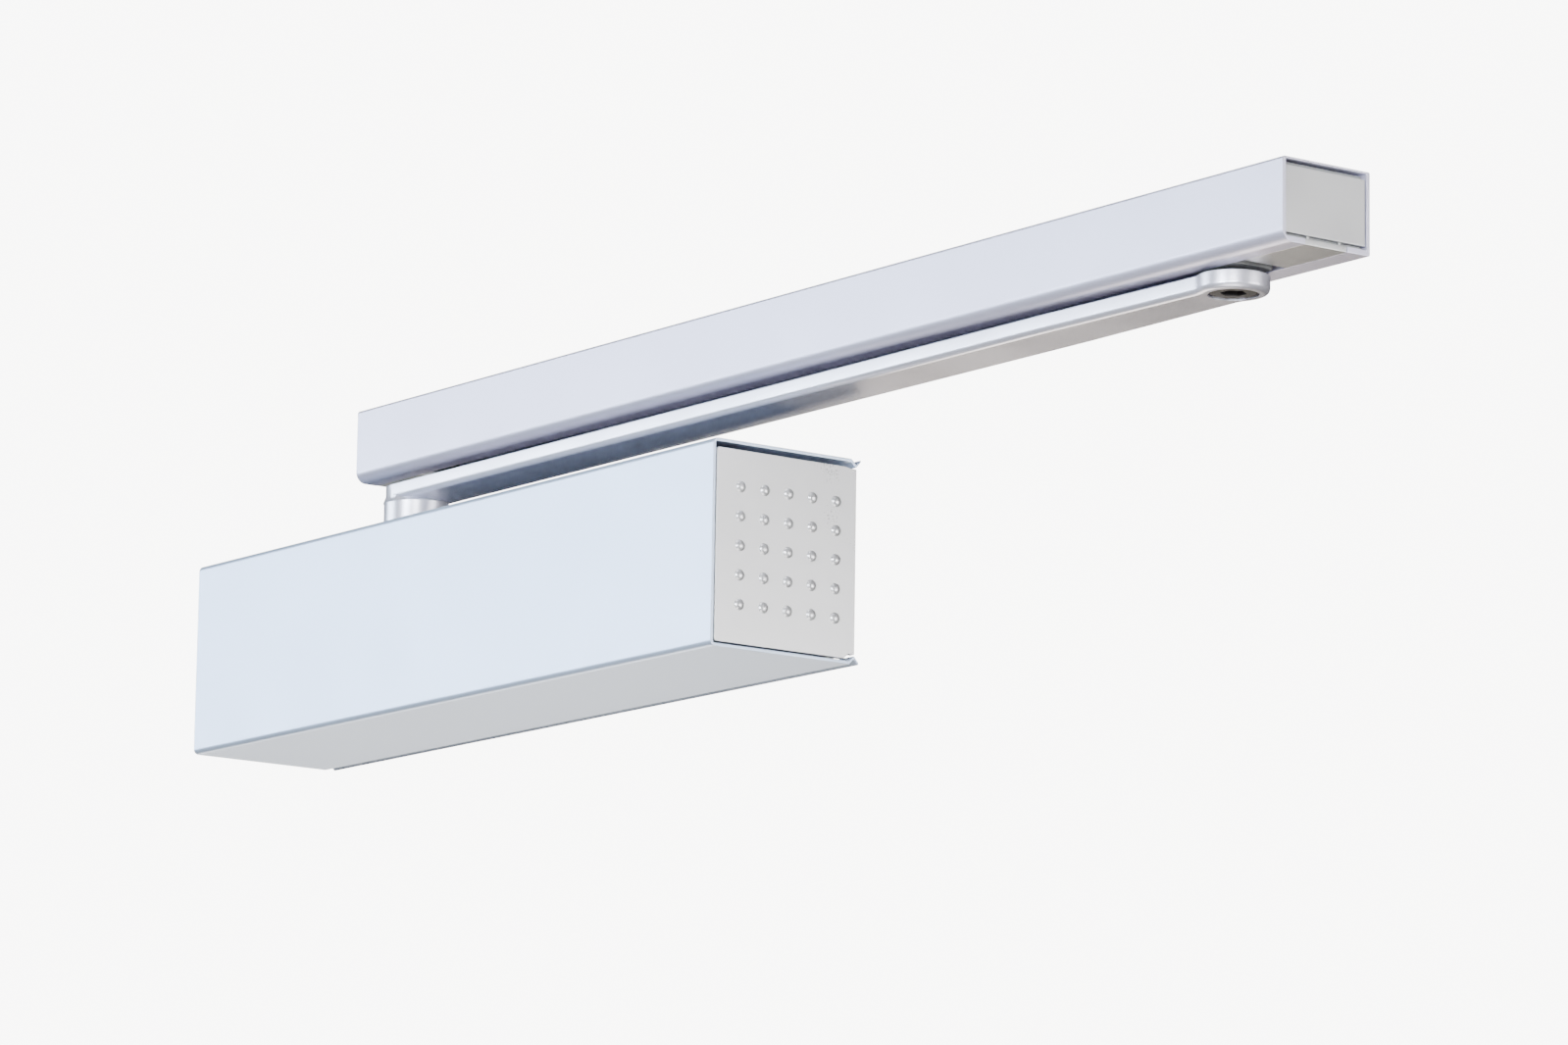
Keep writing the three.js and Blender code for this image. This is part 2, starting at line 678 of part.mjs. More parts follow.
function blade() {
  const outline = new THREE.Shape();
  outline.moveTo(armLength, -armNeckHalfWidth);
  outline.lineTo(armLength, armNeckHalfWidth);
  outline.lineTo(armLength - armNeckLength, armHalfWidth);
  outline.lineTo(0, armHalfWidth);
  outline.absarc(0, 0, armHalfWidth, Math.PI / 2, (3 * Math.PI) / 2, false);
  outline.lineTo(armLength - armNeckLength, -armHalfWidth);
  outline.closePath();
  const options = { depth: armThickness, bevelEnabled: false, curveSegments: 14 };
  const climb = new THREE.Matrix4().set(1, 0, 0, 0, 0, 1, 0, 0, armRise, 0, 1, armBottomAtSpindle, 0, 0, 0, 1);
  return new THREE.ExtrudeGeometry(outline, options).applyMatrix4(climb);
}

const screwHead = { radius: 6.8, height: 3.6 };
const screwShankRadius = 3.3;

function arm() {
  const hub = barZ(hubRadius, [hubBottom, armBottomAtSpindle + 1], 0, 0, 32);
  const boss = barZ(bossRadius, [armBottomAtPin, armBottomAtPin + armThickness], armLength, 0, 32);
  const squareHole = block(
    [-squareHalf - gap, squareHalf + gap],
    [-squareHalf - gap, squareHalf + gap],
    [hubBottom - cut, spindleTop + gap],
  );
  const screwHole = barZ(screwShankRadius + gap, [spindleTop, armTopAtSpindle + cut], 0, 0, 20);
  const countersink = barZ(
    screwShankRadius + gap,
    [armTopAtSpindle - screwHead.height, armTopAtSpindle + gap],
    0,
    0,
    28,
    screwHead.radius + 3 * gap,
  );
  const recessFloor = armBottomAtPin + recessDepth;
  const recess = barZ(recessRadius, [armBottomAtPin - cut, recessFloor], armLength, 0, 32);
  const pinHole = barZ(pinRadius + gap, [recessFloor - cut, armBottomAtPin + armThickness + cut], armLength, 0, 24);
  return shape([blade(), hub, boss], [squareHole, screwHole, countersink, recess, pinHole]);
}

function armScrew() {
  const headTop = armTopAtSpindle - gap;
  const head = barZ(screwShankRadius, [headTop - screwHead.height + gap, headTop], 0, 0, 28, screwHead.radius);
  const shank = barZ(screwShankRadius, [24, headTop - 2], 0, 0, 20);
  const socket = barZ(2.9, [headTop - 2.4, headTop + cut], 0, 0, 6);
  return shape([head, shank], [socket]);
}

// The pin is a shoulder screw: its head sits in the boss, its shank turns in the slide block.
function slidePin() {
  const headFrom = armBottomAtPin + pinHeadInset;
  const headTo = headFrom + pinHeadHeight;
  const head = barZ(pinHeadRadius, [headFrom, headTo], armLength, 0, 32);
  const shank = barZ(pinRadius, [headTo - cut, pinTop], armLength, 0, 24);
  const socket = barZ(hexKeyRadius, [headFrom - cut, headFrom + 2], armLength, 0, 6);
  return shape([head, shank], [socket]);
}

const armGroup = groupAt(model, spindleX, axisY, 0, armTurn);
addPart(armGroup, 'arm', arm(), armSilver);
addPart(armGroup, 'arm_screw', armScrew(), platedSteel);
addPart(armGroup, 'slide_pin', slidePin(), darkSteel);
const washerFrom = armBottomAtPin + armThickness + gap;
const washer = turnedZ(ring(6.4, pinRadius + gap, washerFrom, washerFrom + 0.5), 28);
addPart(armGroup, 'pin_washer', washer, greyPlastic).position.x = armLength;

// ---- Rail, in its own frame: X from its left end, Y from its rear face, Z from its underside ----

const slotMiddle = -railDepth / 2;
const slotHalf = slotWidth / 2;
const chamber = {
  front: -railDepth + railWall,
  rear: -railWall,
  floor: railLip,
  roof: railHeight - railRoof,
};

function railOutline() {
  return roundedOutline([
    [-railDepth, 0, railFrontRadius],
    [-railDepth, railHeight, railEdgeRadius],
    [0, railHeight, railEdgeRadius],
    [0, 0, railEdgeRadius],
    [slotMiddle + slotHalf, 0],
    [slotMiddle + slotHalf, chamber.floor],
    [chamber.rear, chamber.floor],
    [chamber.rear, chamber.roof],
    [chamber.front, chamber.roof],
    [chamber.front, chamber.floor],
    [slotMiddle - slotHalf, chamber.floor],
    [slotMiddle - slotHalf, 0],
  ]);
}

const endScrewX = endBlockFront + 7;
const endScrewZ = 12;

function railProfile() {
  const tools = [endScrewX, railLength - endScrewX].map(
    (x) => barY(2.5 + gap, [-railWall - cut, cut], x, endScrewZ, 16),
  );
  return shape([extrudedX(railOutline(), [0, railLength])], tools);
}

const blockDepths = [chamber.front + gap, chamber.rear - gap];
const blockHeights = [chamber.floor + gap, chamber.roof - gap];
const tongueDepths = [slotMiddle - slotHalf + gap, slotMiddle + slotHalf - gap];

// An end block fills the rail's end above its lips, and holds the screw that fixes the rail.
function endBlock() {
  const body = block([endBlockFront, endBlockLength], blockDepths, blockHeights);
  const headHole = barY(4.6, [chamber.front - cut, -8], endScrewX, endScrewZ, 20);
  const shankHole = barY(2.5 + gap, [-9, 0], endScrewX, endScrewZ, 16);
  return shape([body], [headHole, shankHole]);
}

function endScrew() {
  const head = barY(4.2, [-12.3, -8.3], endScrewX, endScrewZ, 20);
  const shank = barY(2.5, [-9, -0.3], endScrewX, endScrewZ, 16);
  const socket = barY(2.3, [-12.3 - cut, -10], endScrewX, endScrewZ, 6);
  return shape([head, shank], [socket]);
}

// An end cap closes the rail's end, and its foot closes the slot below the end block.
// A thinner neck behind the plate's face joins the two.
function railCap() {
  const plateSpan = [capRecess, capRecess + railCapThickness];
  const plateHeights = [chamber.floor + railCapBottomGap, chamber.roof - railCapTopGap];
  const neckSpan = [capRecess + railCapThickness / 2, capRecess + railCapThickness];
  return shape([
    block(plateSpan, blockDepths, plateHeights),
    block(neckSpan, tongueDepths, [railCapFootBottom, plateHeights[0] + cut]),
    block([capRecess, railCapFootLength], tongueDepths, [railCapFootBottom, chamber.floor]),
  ]);
}

function buffer() {
  const span = [endBlockLength + gap, endBlockLength + gap + bufferThickness];
  return block(span, [slotMiddle - 8, slotMiddle + 8], [7, 17]);
}

// The slide block runs inside the rail, with a neck that fills the slot's width.
function slideBlock() {
  const half = slideBlockLength / 2;
  const body = block([-half, half], blockDepths, blockHeights);
  const neckSpan = [-slideNeckLength / 2, slideNeckLength / 2];
  const neck = block(neckSpan, tongueDepths, [0.2, chamber.floor + gap + cut]);
  const pinHole = barZ(pinRadius + gap, [-cut, pinTop - railBottom + 0.5], 0, slotMiddle, 24);
  return shape([body, neck], [pinHole]);
}

const railGroup = groupAt(model, railLeft, 0, railBottom);
addPart(railGroup, 'rail_profile', railProfile(), railSilver);
addPart(railGroup, 'rail_end_block_left', endBlock(), greyPlastic);
addPart(railGroup, 'rail_end_screw_left', endScrew(), platedSteel);
addPart(railGroup, 'rail_end_cap_left', railCap(), capSilver);
addPart(railGroup, 'rail_buffer_left', buffer(), blackRubber);
addPart(railGroup, 'slide_block', slideBlock(), greyPlastic).position.x = pinX - railLeft;

// The right end's pieces are the left end's mirrored about the rail's middle.
const rightEnd = groupAt(railGroup, railLength, 0, 0);
addPart(rightEnd, 'rail_end_block_right', mirroredX(endBlock()), greyPlastic);
addPart(rightEnd, 'rail_end_screw_right', mirroredX(endScrew()), platedSteel);
addPart(rightEnd, 'rail_end_cap_right', mirroredX(railCap()), capSilver);
addPart(rightEnd, 'rail_buffer_right', mirroredX(buffer()), blackRubber);

export default model;
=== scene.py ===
"""A slide-arm door closer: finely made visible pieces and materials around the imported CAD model.

Shapes are worked out in millimetres and scaled to metres when each piece is finished.
"""
import json
import math

import bmesh
import bpy
from mathutils import Matrix, Vector


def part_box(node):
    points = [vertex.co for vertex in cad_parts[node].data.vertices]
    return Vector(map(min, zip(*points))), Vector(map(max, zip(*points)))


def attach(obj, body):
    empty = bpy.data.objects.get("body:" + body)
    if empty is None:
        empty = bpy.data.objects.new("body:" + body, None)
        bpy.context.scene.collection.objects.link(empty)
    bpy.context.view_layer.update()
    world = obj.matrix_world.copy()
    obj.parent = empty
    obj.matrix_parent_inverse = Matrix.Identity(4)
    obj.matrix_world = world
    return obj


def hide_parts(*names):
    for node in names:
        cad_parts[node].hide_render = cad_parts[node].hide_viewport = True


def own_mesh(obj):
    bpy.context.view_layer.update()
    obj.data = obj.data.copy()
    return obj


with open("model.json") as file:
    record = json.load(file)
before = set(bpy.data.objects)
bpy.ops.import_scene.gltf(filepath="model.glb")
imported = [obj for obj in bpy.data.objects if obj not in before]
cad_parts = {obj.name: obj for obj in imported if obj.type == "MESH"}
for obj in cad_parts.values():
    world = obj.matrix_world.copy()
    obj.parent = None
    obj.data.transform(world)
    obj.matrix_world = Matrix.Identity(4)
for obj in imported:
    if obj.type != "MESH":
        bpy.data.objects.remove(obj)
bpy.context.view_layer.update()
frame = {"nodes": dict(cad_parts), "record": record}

MM = 0.001
AXES = {"X": (1, 2, 0), "Y": (0, 2, 1), "Z": (0, 1, 2)}
CLEARANCE = 0.3  # between pieces that fit into each other
HEX_RADIUS = 3.46  # to the corners of a 6 mm hex socket


# ---- Shape helpers ----

def box_mm(node):
    """A CAD node's lowest and highest corners, in millimetres."""
    low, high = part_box(node)
    return [c / MM for c in low], [c / MM for c in high]


def middle_of(node):
    """The middle of a CAD node's box, in millimetres."""
    low, high = box_mm(node)
    return [(a + b) / 2 for a, b in zip(low, high)]


spindle_x, axis_y, _ = middle_of("spindle_seal")
pin_x, pin_y, _ = middle_of("slide_pin")


def place(u, v, along, axis):
    """A point at (u, v) across an axis and at a distance along it."""
    point = [0.0, 0.0, 0.0]
    for index, value in zip(AXES[axis], (u, v, along)):
        point[index] = value
    return point


def object_from(name, bm):
    """A Blender object from a finished bmesh, with its faces turned outwards."""
    bmesh.ops.recalc_face_normals(bm, faces=bm.faces)
    mesh = bpy.data.meshes.new(name)
    bm.to_mesh(mesh)
    bm.free()
    obj = bpy.data.objects.new(name, mesh)
    bpy.context.scene.collection.objects.link(obj)
    return obj


def prism(outline, axis, low, high, name="tool"):
    """A closed outline across an axis, drawn out along it."""
    bm = bmesh.new()
    ends = [[bm.verts.new(place(u, v, along, axis)) for u, v in outline] for along in (low, high)]
    bm.faces.new(ends[0])
    bm.faces.new(ends[1])
    for i in range(len(outline)):
        j = (i + 1) % len(outline)
        bm.faces.new([ends[0][i], ends[0][j], ends[1][j], ends[1][i]])
    return object_from(name, bm)


def lathe(profile, axis, centre=(0, 0), sides=96, name="tool"):
    """A body of revolution from (radius, place along the axis) points that close on themselves."""
    bm = bmesh.new()
    rings = []
    for radius, along in profile:
        turns = range(sides) if radius > 0 else range(1)
        angles = [2 * math.pi * i / sides for i in turns]
        points = [(centre[0] + radius * math.cos(a), centre[1] + radius * math.sin(a)) for a in angles]
        rings.append([bm.verts.new(place(u, v, along, axis)) for u, v in points])
    for ring, after in zip(rings, rings[1:] + rings[:1]):
        for i in range(sides):
            j = (i + 1) % sides
            corners = [ring[i % len(ring)], ring[j % len(ring)], after[j % len(after)], after[i % len(after)]]
            corners = list(dict.fromkeys(corners))
            if len(corners) > 2:
                bm.faces.new(corners)
    return object_from(name, bm)


def bar(radius, low, high, axis, centre=(0, 0), edge=0.0, sides=64, name="tool"):
    """A round bar with its end edges broken by a small chamfer."""
    profile = [(0, low), (radius - edge, low), (radius, low + edge)]
    profile += [(radius, high - edge), (radius - edge, high), (0, high)]
    if edge == 0:
        profile = [(0, low), (radius, low), (radius, high), (0, high)]
    return lathe(profile, axis, centre, sides, name)


def tube(outer, inner, low, high, axis, centre=(0, 0), edge=0.3, sides=96, name="tool"):
    """A ring or tube with all its edges broken by a small chamfer."""
    profile = [(inner + edge, low), (outer - edge, low), (outer, low + edge), (outer, high - edge)]
    profile += [(outer - edge, high), (inner + edge, high), (inner, high - edge), (inner, low + edge)]
    return lathe(profile, axis, centre, sides, name)


def hole(radius, mouth, end, axis, centre=(0, 0), edge=0.4, sides=64):
    """A cutting bar from a hole's mouth to its end, flared to break the mouth's edge."""
    inward = 1 if end > mouth else -1
    profile = [(0, mouth - inward), (radius + edge + 1, mouth - inward), (radius, mouth + inward * edge)]
    profile += [(radius, end), (0, end)]
    return lathe(profile, axis, centre, sides)


def slab(low, high, name="tool"):
    """A rectangular block between two corners."""
    (x0, y0, z0), (x1, y1, z1) = low, high
    return prism([(x0, y0), (x1, y0), (x1, y1), (x0, y1)], "Z", z0, z1, name)


def arc(centre, radius, start, end, steps):
    """Points along an arc, with its angles in degrees."""
    angles = [math.radians(start + (end - start) * i / steps) for i in range(steps + 1)]
    return [(centre[0] + radius * math.cos(a), centre[1] + radius * math.sin(a)) for a in angles]


def rounded(points, steps=6):
    """An outline through (u, v, corner radius) points, with its corners rounded."""
    outline = []
    count = len(points)
    for i, (u, v, radius) in enumerate(points):
        here = Vector((u, v))
        if radius == 0:
            outline.append((u, v))
            continue
        before = (Vector(points[i - 1][:2]) - here).normalized()
        after = (Vector(points[(i + 1) % count][:2]) - here).normalized()
        reach = radius / math.tan(before.angle(after) / 2)
        first, last = here + before * reach, here + after * reach
        middle = here + (before + after).normalized() * math.hypot(reach, radius)
        a, b = first - middle, last - middle
        turn = a.angle_signed(b)
        for k in range(steps + 1):
            spoke = Matrix.Rotation(-turn * k / steps, 2) @ a
            outline.append(tuple(middle + spoke))
    return outline


def bake(obj):
    """Applies an object's modifiers to its mesh."""
    depsgraph = bpy.context.evaluated_depsgraph_get()
    mesh = bpy.data.meshes.new_from_object(obj.evaluated_get(depsgraph))
    obj.modifiers.clear()
    obj.data = mesh


def combine(obj, tools, operation="DIFFERENCE"):
    """Cuts the tools out of an object, or joins them to it."""
    for tool in tools:
        modifier = obj.modifiers.new("combine", "BOOLEAN")
        modifier.operation = operation
        modifier.object = tool
        modifier.solver = "EXACT"
    bake(obj)
    for tool in tools:
        bpy.data.objects.remove(tool)
    return obj


def soften(obj, width, segments=3, angle=35):
    """Rounds an object's edges."""
    modifier = obj.modifiers.new("edges", "BEVEL")
    modifier.width = width
    modifier.segments = segments
    modifier.limit_method = "ANGLE"
    modifier.angle_limit = math.radians(angle)
    modifier.use_clamp_overlap = True
    bake(obj)
    return obj


def piece(obj, name, body, material, replaced=()):
    """Finishes a visible piece: its size, shading, body, finish and the CAD nodes it stands for."""
    obj.name = name
    obj.data.name = name
    obj.data.transform(Matrix.Scale(MM, 4))
    obj.data.polygons.foreach_set("use_smooth", [True] * len(obj.data.polygons))
    obj.data.set_sharp_from_angle(angle=math.radians(32))
    obj.data.materials.clear()
    obj.data.materials.append(material)
    weighted = obj.modifiers.new("shading", "WEIGHTED_NORMAL")
    weighted.keep_sharp = True
    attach(obj, body)
    if replaced:
        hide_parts(*replaced)
    return obj


# ---- Materials ----

def surface(name, colour, roughness, metallic, grain, depth=0.03, mottle=0.05, spread=0.06, specular=0.5):
    """A surface with a directional grain, slight colour clouding and uneven gloss.

    grain holds the grain's frequency along X, Y and Z, per metre.
    """
    material = bpy.data.materials.new(name)
    material.use_nodes = True
    nodes = material.node_tree.nodes
    links = material.node_tree.links
    shader = nodes["Principled BSDF"]
    shader.inputs["Metallic"].default_value = metallic
    shader.inputs["Specular IOR Level"].default_value = specular
    where = nodes.new("ShaderNodeTexCoord")

    stretch = nodes.new("ShaderNodeMapping")
    stretch.inputs["Scale"].default_value = grain
    fine = nodes.new("ShaderNodeTexNoise")
    fine.inputs["Scale"].default_value = 1.0
    fine.inputs["Detail"].default_value = 5.0
    fine.inputs["Roughness"].default_value = 0.65
    links.new(where.outputs["Object"], stretch.inputs["Vector"])
    links.new(stretch.outputs["Vector"], fine.inputs["Vector"])

    cloud = nodes.new("ShaderNodeTexNoise")
    cloud.inputs["Scale"].default_value = 38.0
    cloud.inputs["Detail"].default_value = 4.0
    links.new(where.outputs["Object"], cloud.inputs["Vector"])

    tint = nodes.new("ShaderNodeMix")
    tint.data_type = "RGBA"
    tint.inputs["A"].default_value = (*[c * (1 - mottle) for c in colour], 1)
    tint.inputs["B"].default_value = (*[min(1, c * (1 + mottle)) for c in colour], 1)
    both = nodes.new("ShaderNodeMath")
    both.operation = "MULTIPLY_ADD"
    both.inputs[1].default_value = 0.4
    links.new(fine.outputs["Fac"], both.inputs[0])
    share = nodes.new("ShaderNodeMath")
    share.operation = "MULTIPLY"
    share.inputs[1].default_value = 0.6
    links.new(cloud.outputs["Fac"], share.inputs[0])
    links.new(share.outputs[0], both.inputs[2])
    links.new(both.outputs[0], tint.inputs["Factor"])
    links.new(tint.outputs["Result"], shader.inputs["Base Color"])

    gloss = nodes.new("ShaderNodeMapRange")
    gloss.inputs["From Min"].default_value = 0.3
    gloss.inputs["From Max"].default_value = 0.7
    gloss.inputs["To Min"].default_value = roughness - spread
    gloss.inputs["To Max"].default_value = roughness + spread
    links.new(both.outputs[0], gloss.inputs["Value"])
    links.new(gloss.outputs["Result"], shader.inputs["Roughness"])

    bump = nodes.new("ShaderNodeBump")
    bump.inputs["Strength"].default_value = depth
    bump.inputs["Distance"].default_value = 0.0002
    links.new(fine.outputs["Fac"], bump.inputs["Height"])
    links.new(bump.outputs["Normal"], shader.inputs["Normal"])
    return material


BRUSHED = {"mottle": 0.015, "spread": 0.02}
ALONG_X = (60, 3500, 3500)
ALONG_Z = (3500, 3500, 60)
EVEN = (1800, 1800, 1800)

MATERIALS = {
    "cover_aluminium": surface("cover_silver", (0.58, 0.69, 0.88), 0.44, 0.75, ALONG_X, **BRUSHED),
    "rail_aluminium": surface("rail_silver", (0.63, 0.62, 0.76), 0.44, 0.75, ALONG_X, **BRUSHED),
    "cap_silver": surface("silver_cap", (0.60, 0.60, 0.61), 0.32, 0.65, EVEN, depth=0.02),
    "arm_silver": surface("silver_arm", (0.64, 0.64, 0.72), 0.34, 0.7, ALONG_X, depth=0.02),
    "plated_steel": surface("zinc_plate", (0.62, 0.64, 0.66), 0.34, 0.9, EVEN, mottle=0.1),
    "cast_housing": surface("machined_casting", (0.42, 0.43, 0.44), 0.55, 0.6, EVEN, depth=0.12, mottle=0.12),
    "hardened_steel": surface("ground_steel", (0.45, 0.46, 0.48), 0.3, 0.95, ALONG_Z),
    "spring_steel": surface("spring_wire", (0.14, 0.145, 0.155), 0.38, 0.85, EVEN, mottle=0.2),
    "brass": surface("machined_brass", (0.62, 0.42, 0.15), 0.3, 0.95, EVEN, mottle=0.1),
    "black_rubber": surface("moulded_rubber", (0.015, 0.015, 0.016), 0.75, 0.0, EVEN, depth=0.1, mottle=0.2),
    "grey_plastic": surface("moulded_acetal", (0.24, 0.25, 0.26), 0.5, 0.0, EVEN, depth=0.05, mottle=0.08),
    "dark_steel": surface("black_oxide", (0.018, 0.018, 0.02), 0.5, 0.3, EVEN, mottle=0.25),
}
SLOTS = {row["node"]: row["material_slot"] for row in frame["record"]["subparts"]}
BODIES = {node: body for body, nodes in frame["record"]["behaviour"]["bodies"].items() for node in nodes}


def finish(obj, name, node):
    """Finishes a piece that stands for a CAD node, on its body and with its slot's material."""
    slot = SLOTS[node]
    return piece(obj, name, BODIES[node], MATERIALS[slot], [node])


for node, obj in frame["nodes"].items():
    obj.material_slots[0].material = MATERIALS[SLOTS[node]]


# ---- Camera, stage and lights ----

CAMERA_PLACE = (1.65777, -1.15808, -0.34767)
CAMERA_FORWARD = (-0.788683, 0.586409, 0.184672)
CAMERA_UP = (0.139344, -0.122061, 0.982692)
CAMERA_LENS = 155.17
PALE = (0.97, 0.965, 0.95, 1)
PALE_STRENGTH = 9.0
LIT = (0.95, 0.97, 1.0, 1)
LIT_STRENGTH = 0.03
FLOOR_TOP = -2500  # low enough that a camera looking up at the object stays above the floor
FLOOR_THICKNESS = 10
FLOOR_HALF = 9000


def make_camera():
    """A long-lens camera in front of the object, to its right and below it."""
    forward = Vector(CAMERA_FORWARD).normalized()
    right = forward.cross(Vector(CAMERA_UP)).normalized()
    up = right.cross(forward)
    turn = Matrix((right, up, -forward)).transposed().to_4x4()
    data = bpy.data.cameras.new("camera")
    data.sensor_width = 36
    data.lens = CAMERA_LENS
    data.clip_start = 0.01
    data.clip_end = 100
    camera = bpy.data.objects.new("camera", data)
    camera.matrix_world = Matrix.Translation(CAMERA_PLACE) @ turn
    bpy.context.scene.collection.objects.link(camera)
    bpy.context.scene.camera = camera


def soft_light(name, position, size, power, colour, target=(0.06, -0.02, 0.02)):
    """A soft rectangular light that faces the object."""
    data = bpy.data.lights.new(name, "AREA")
    data.shape = "RECTANGLE"
    data.size, data.size_y = size
    data.energy = power
    data.color = colour
    lamp = bpy.data.objects.new(name, data)
    lamp.location = position
    aim = Vector(target) - Vector(position)
    lamp.rotation_mode = "QUATERNION"
    lamp.rotation_quaternion = aim.to_track_quat("-Z", "Y")
    bpy.context.scene.collection.objects.link(lamp)


def make_floor():
    """A plain pale floor far below, as pale as the surroundings. It casts no light on the object."""
    bottom = FLOOR_TOP - FLOOR_THICKNESS
    floor = slab((-FLOOR_HALF, -FLOOR_HALF, bottom), (FLOOR_HALF, FLOOR_HALF, FLOOR_TOP), "floor")
    floor.data.transform(Matrix.Scale(MM, 4))
    pale = surface("pale_floor", (0.82, 0.82, 0.80), 0.8, 0.0, EVEN, depth=0.0, mottle=0.01)
    shader = pale.node_tree.nodes["Principled BSDF"]
    shader.inputs["Emission Color"].default_value = PALE
    shader.inputs["Emission Strength"].default_value = PALE_STRENGTH
    floor.data.materials.append(pale)
    floor.visible_diffuse = False
    floor.visible_glossy = False
    floor.visible_shadow = False


def make_world():
    """A pale surrounding for the camera, and a dimmer one that lights the object."""
    world = bpy.data.worlds.new("studio")
    world.use_nodes = True
    nodes = world.node_tree.nodes
    links = world.node_tree.links
    seen = nodes["Background"]
    seen.inputs["Color"].default_value = PALE
    seen.inputs["Strength"].default_value = PALE_STRENGTH
    lit = nodes.new("ShaderNodeBackground")
    lit.inputs["Color"].default_value = LIT
    lit.inputs["Strength"].default_value = LIT_STRENGTH
    path = nodes.new("ShaderNodeLightPath")
    choose = nodes.new("ShaderNodeMixShader")
    links.new(path.outputs["Is Camera Ray"], choose.inputs["Fac"])
    links.new(lit.outputs["Background"], choose.inputs[1])
    links.new(seen.outputs["Background"], choose.inputs[2])
    links.new(choose.outputs["Shader"], nodes["World Output"].inputs["Surface"])
    bpy.context.scene.world = world


make_camera()
make_floor()
make_world()
soft_light("key", (-2.4, -2.35, 0.5), (1.9, 0.5), 88, (0.74, 0.86, 1.0))
soft_light("front_fill", (0.9, -2.5, 0.1), (0.9, 0.5), 118, (0.86, 0.92, 1.0))
soft_light("camera_fill", (2.0, -1.5, 0.06), (0.6, 0.4), 60, (0.96, 0.98, 1.0))
soft_light("right_side", (2.2, 1.05, -0.1), (1.1, 0.8), 38, (1.0, 0.99, 0.98))
soft_light("low_fill", (-1.45, 0.75, -1.2), (1.0, 0.9), 20, (1.0, 0.9, 0.77))
soft_light("overhead", (0.1, -0.6, 1.9), (1.4, 0.8), 40, (0.97, 0.98, 1.0))
soft_light("low_front", (0.7, -0.5, -1.5), (1.2, 1.2), 25, (1.0, 0.96, 0.91))


# ---- Cover ----

COVER_WALL = 1.0
COVER_CORNER = 1.7
BEAD_WIDTH = 3.4
BEAD_DEPTH = 1.6
BEAD_ROUNDING = 0.35
CUTOUT_RADIUS = 9.2


def make_cover():
    """A thin channel with a V-shaped bead along both rear edges, cut out around the arm's hub."""
    low, high = box_mm("cover_profile")
    front, rear, top = low[1], high[1], high[2]
    middle = rear - BEAD_WIDTH / 2
    upper = [
        (front, top, COVER_CORNER),
        (rear - BEAD_WIDTH, top, 0.5),
        (middle, top - BEAD_DEPTH, BEAD_ROUNDING),
        (rear, top - 0.05, 0),
        (rear, top - COVER_WALL + BEAD_ROUNDING, 0),
        (middle, top - BEAD_DEPTH - COVER_WALL, BEAD_ROUNDING),
        (rear - BEAD_WIDTH - 0.3, top - COVER_WALL, 0.3),
        (front + COVER_WALL, top - COVER_WALL, 0.5),
    ]
    outline = upper + [(y, -z, radius) for y, z, radius in reversed(upper)]
    cover = prism(rounded(outline, 8), "X", low[0], high[0], "cover")
    behind = rear + 2
    cutout = arc((spindle_x, axis_y), CUTOUT_RADIUS, 180, 360, 40)
    cutout += [(spindle_x + CUTOUT_RADIUS, behind), (spindle_x - CUTOUT_RADIUS, behind)]
    combine(cover, [prism(cutout, "Z", top - 5, top + 2)])
    soften(cover, 0.2, 2, 40)
    finish(cover, "cover_shell", "cover_profile")


STUD_PITCH = 8.5
STUD_RADIUS = 1.65
STUD_HEIGHT = 0.85
STUD_ROOT = 0.6  # how deep a stud starts inside the cap
STUD_RINGS = 5
STUDS_REARWARD = 0.5  # the grid's middle, from the adjuster's axis
STUDS_LOWER = 0.2
CAP_FACE = 0.45  # from the CAD cap's outermost point to the face
CAP_THICKNESS = 2
CAP_CORNER = 0.9
CAP_STEP_CORNER = 0.3
CAP_SEAM = 0.3  # extra gap over an end cap
CAP_BEAD_GAP = 0.4
CLIP_FRONT = -42
CLIP_REAR = -12
CLIP_THICKNESS = 1.6
CLIP_INSET = 0.1
CLIP_REACH = 5


def stud(x, y, z, side):
    """A low dome on an end cap, standing out along X."""
    root = x - side * STUD_ROOT
    profile = [(0, root), (STUD_RADIUS, root)]
    for i in range(STUD_RINGS + 1):
        angle = math.pi / 2 * i / STUD_RINGS
        profile.append((STUD_RADIUS * math.cos(angle), x + side * STUD_HEIGHT * math.sin(angle)))
    profile[-1] = (0, x + side * STUD_HEIGHT)
    return lathe(profile, "X", (y, z), 32)


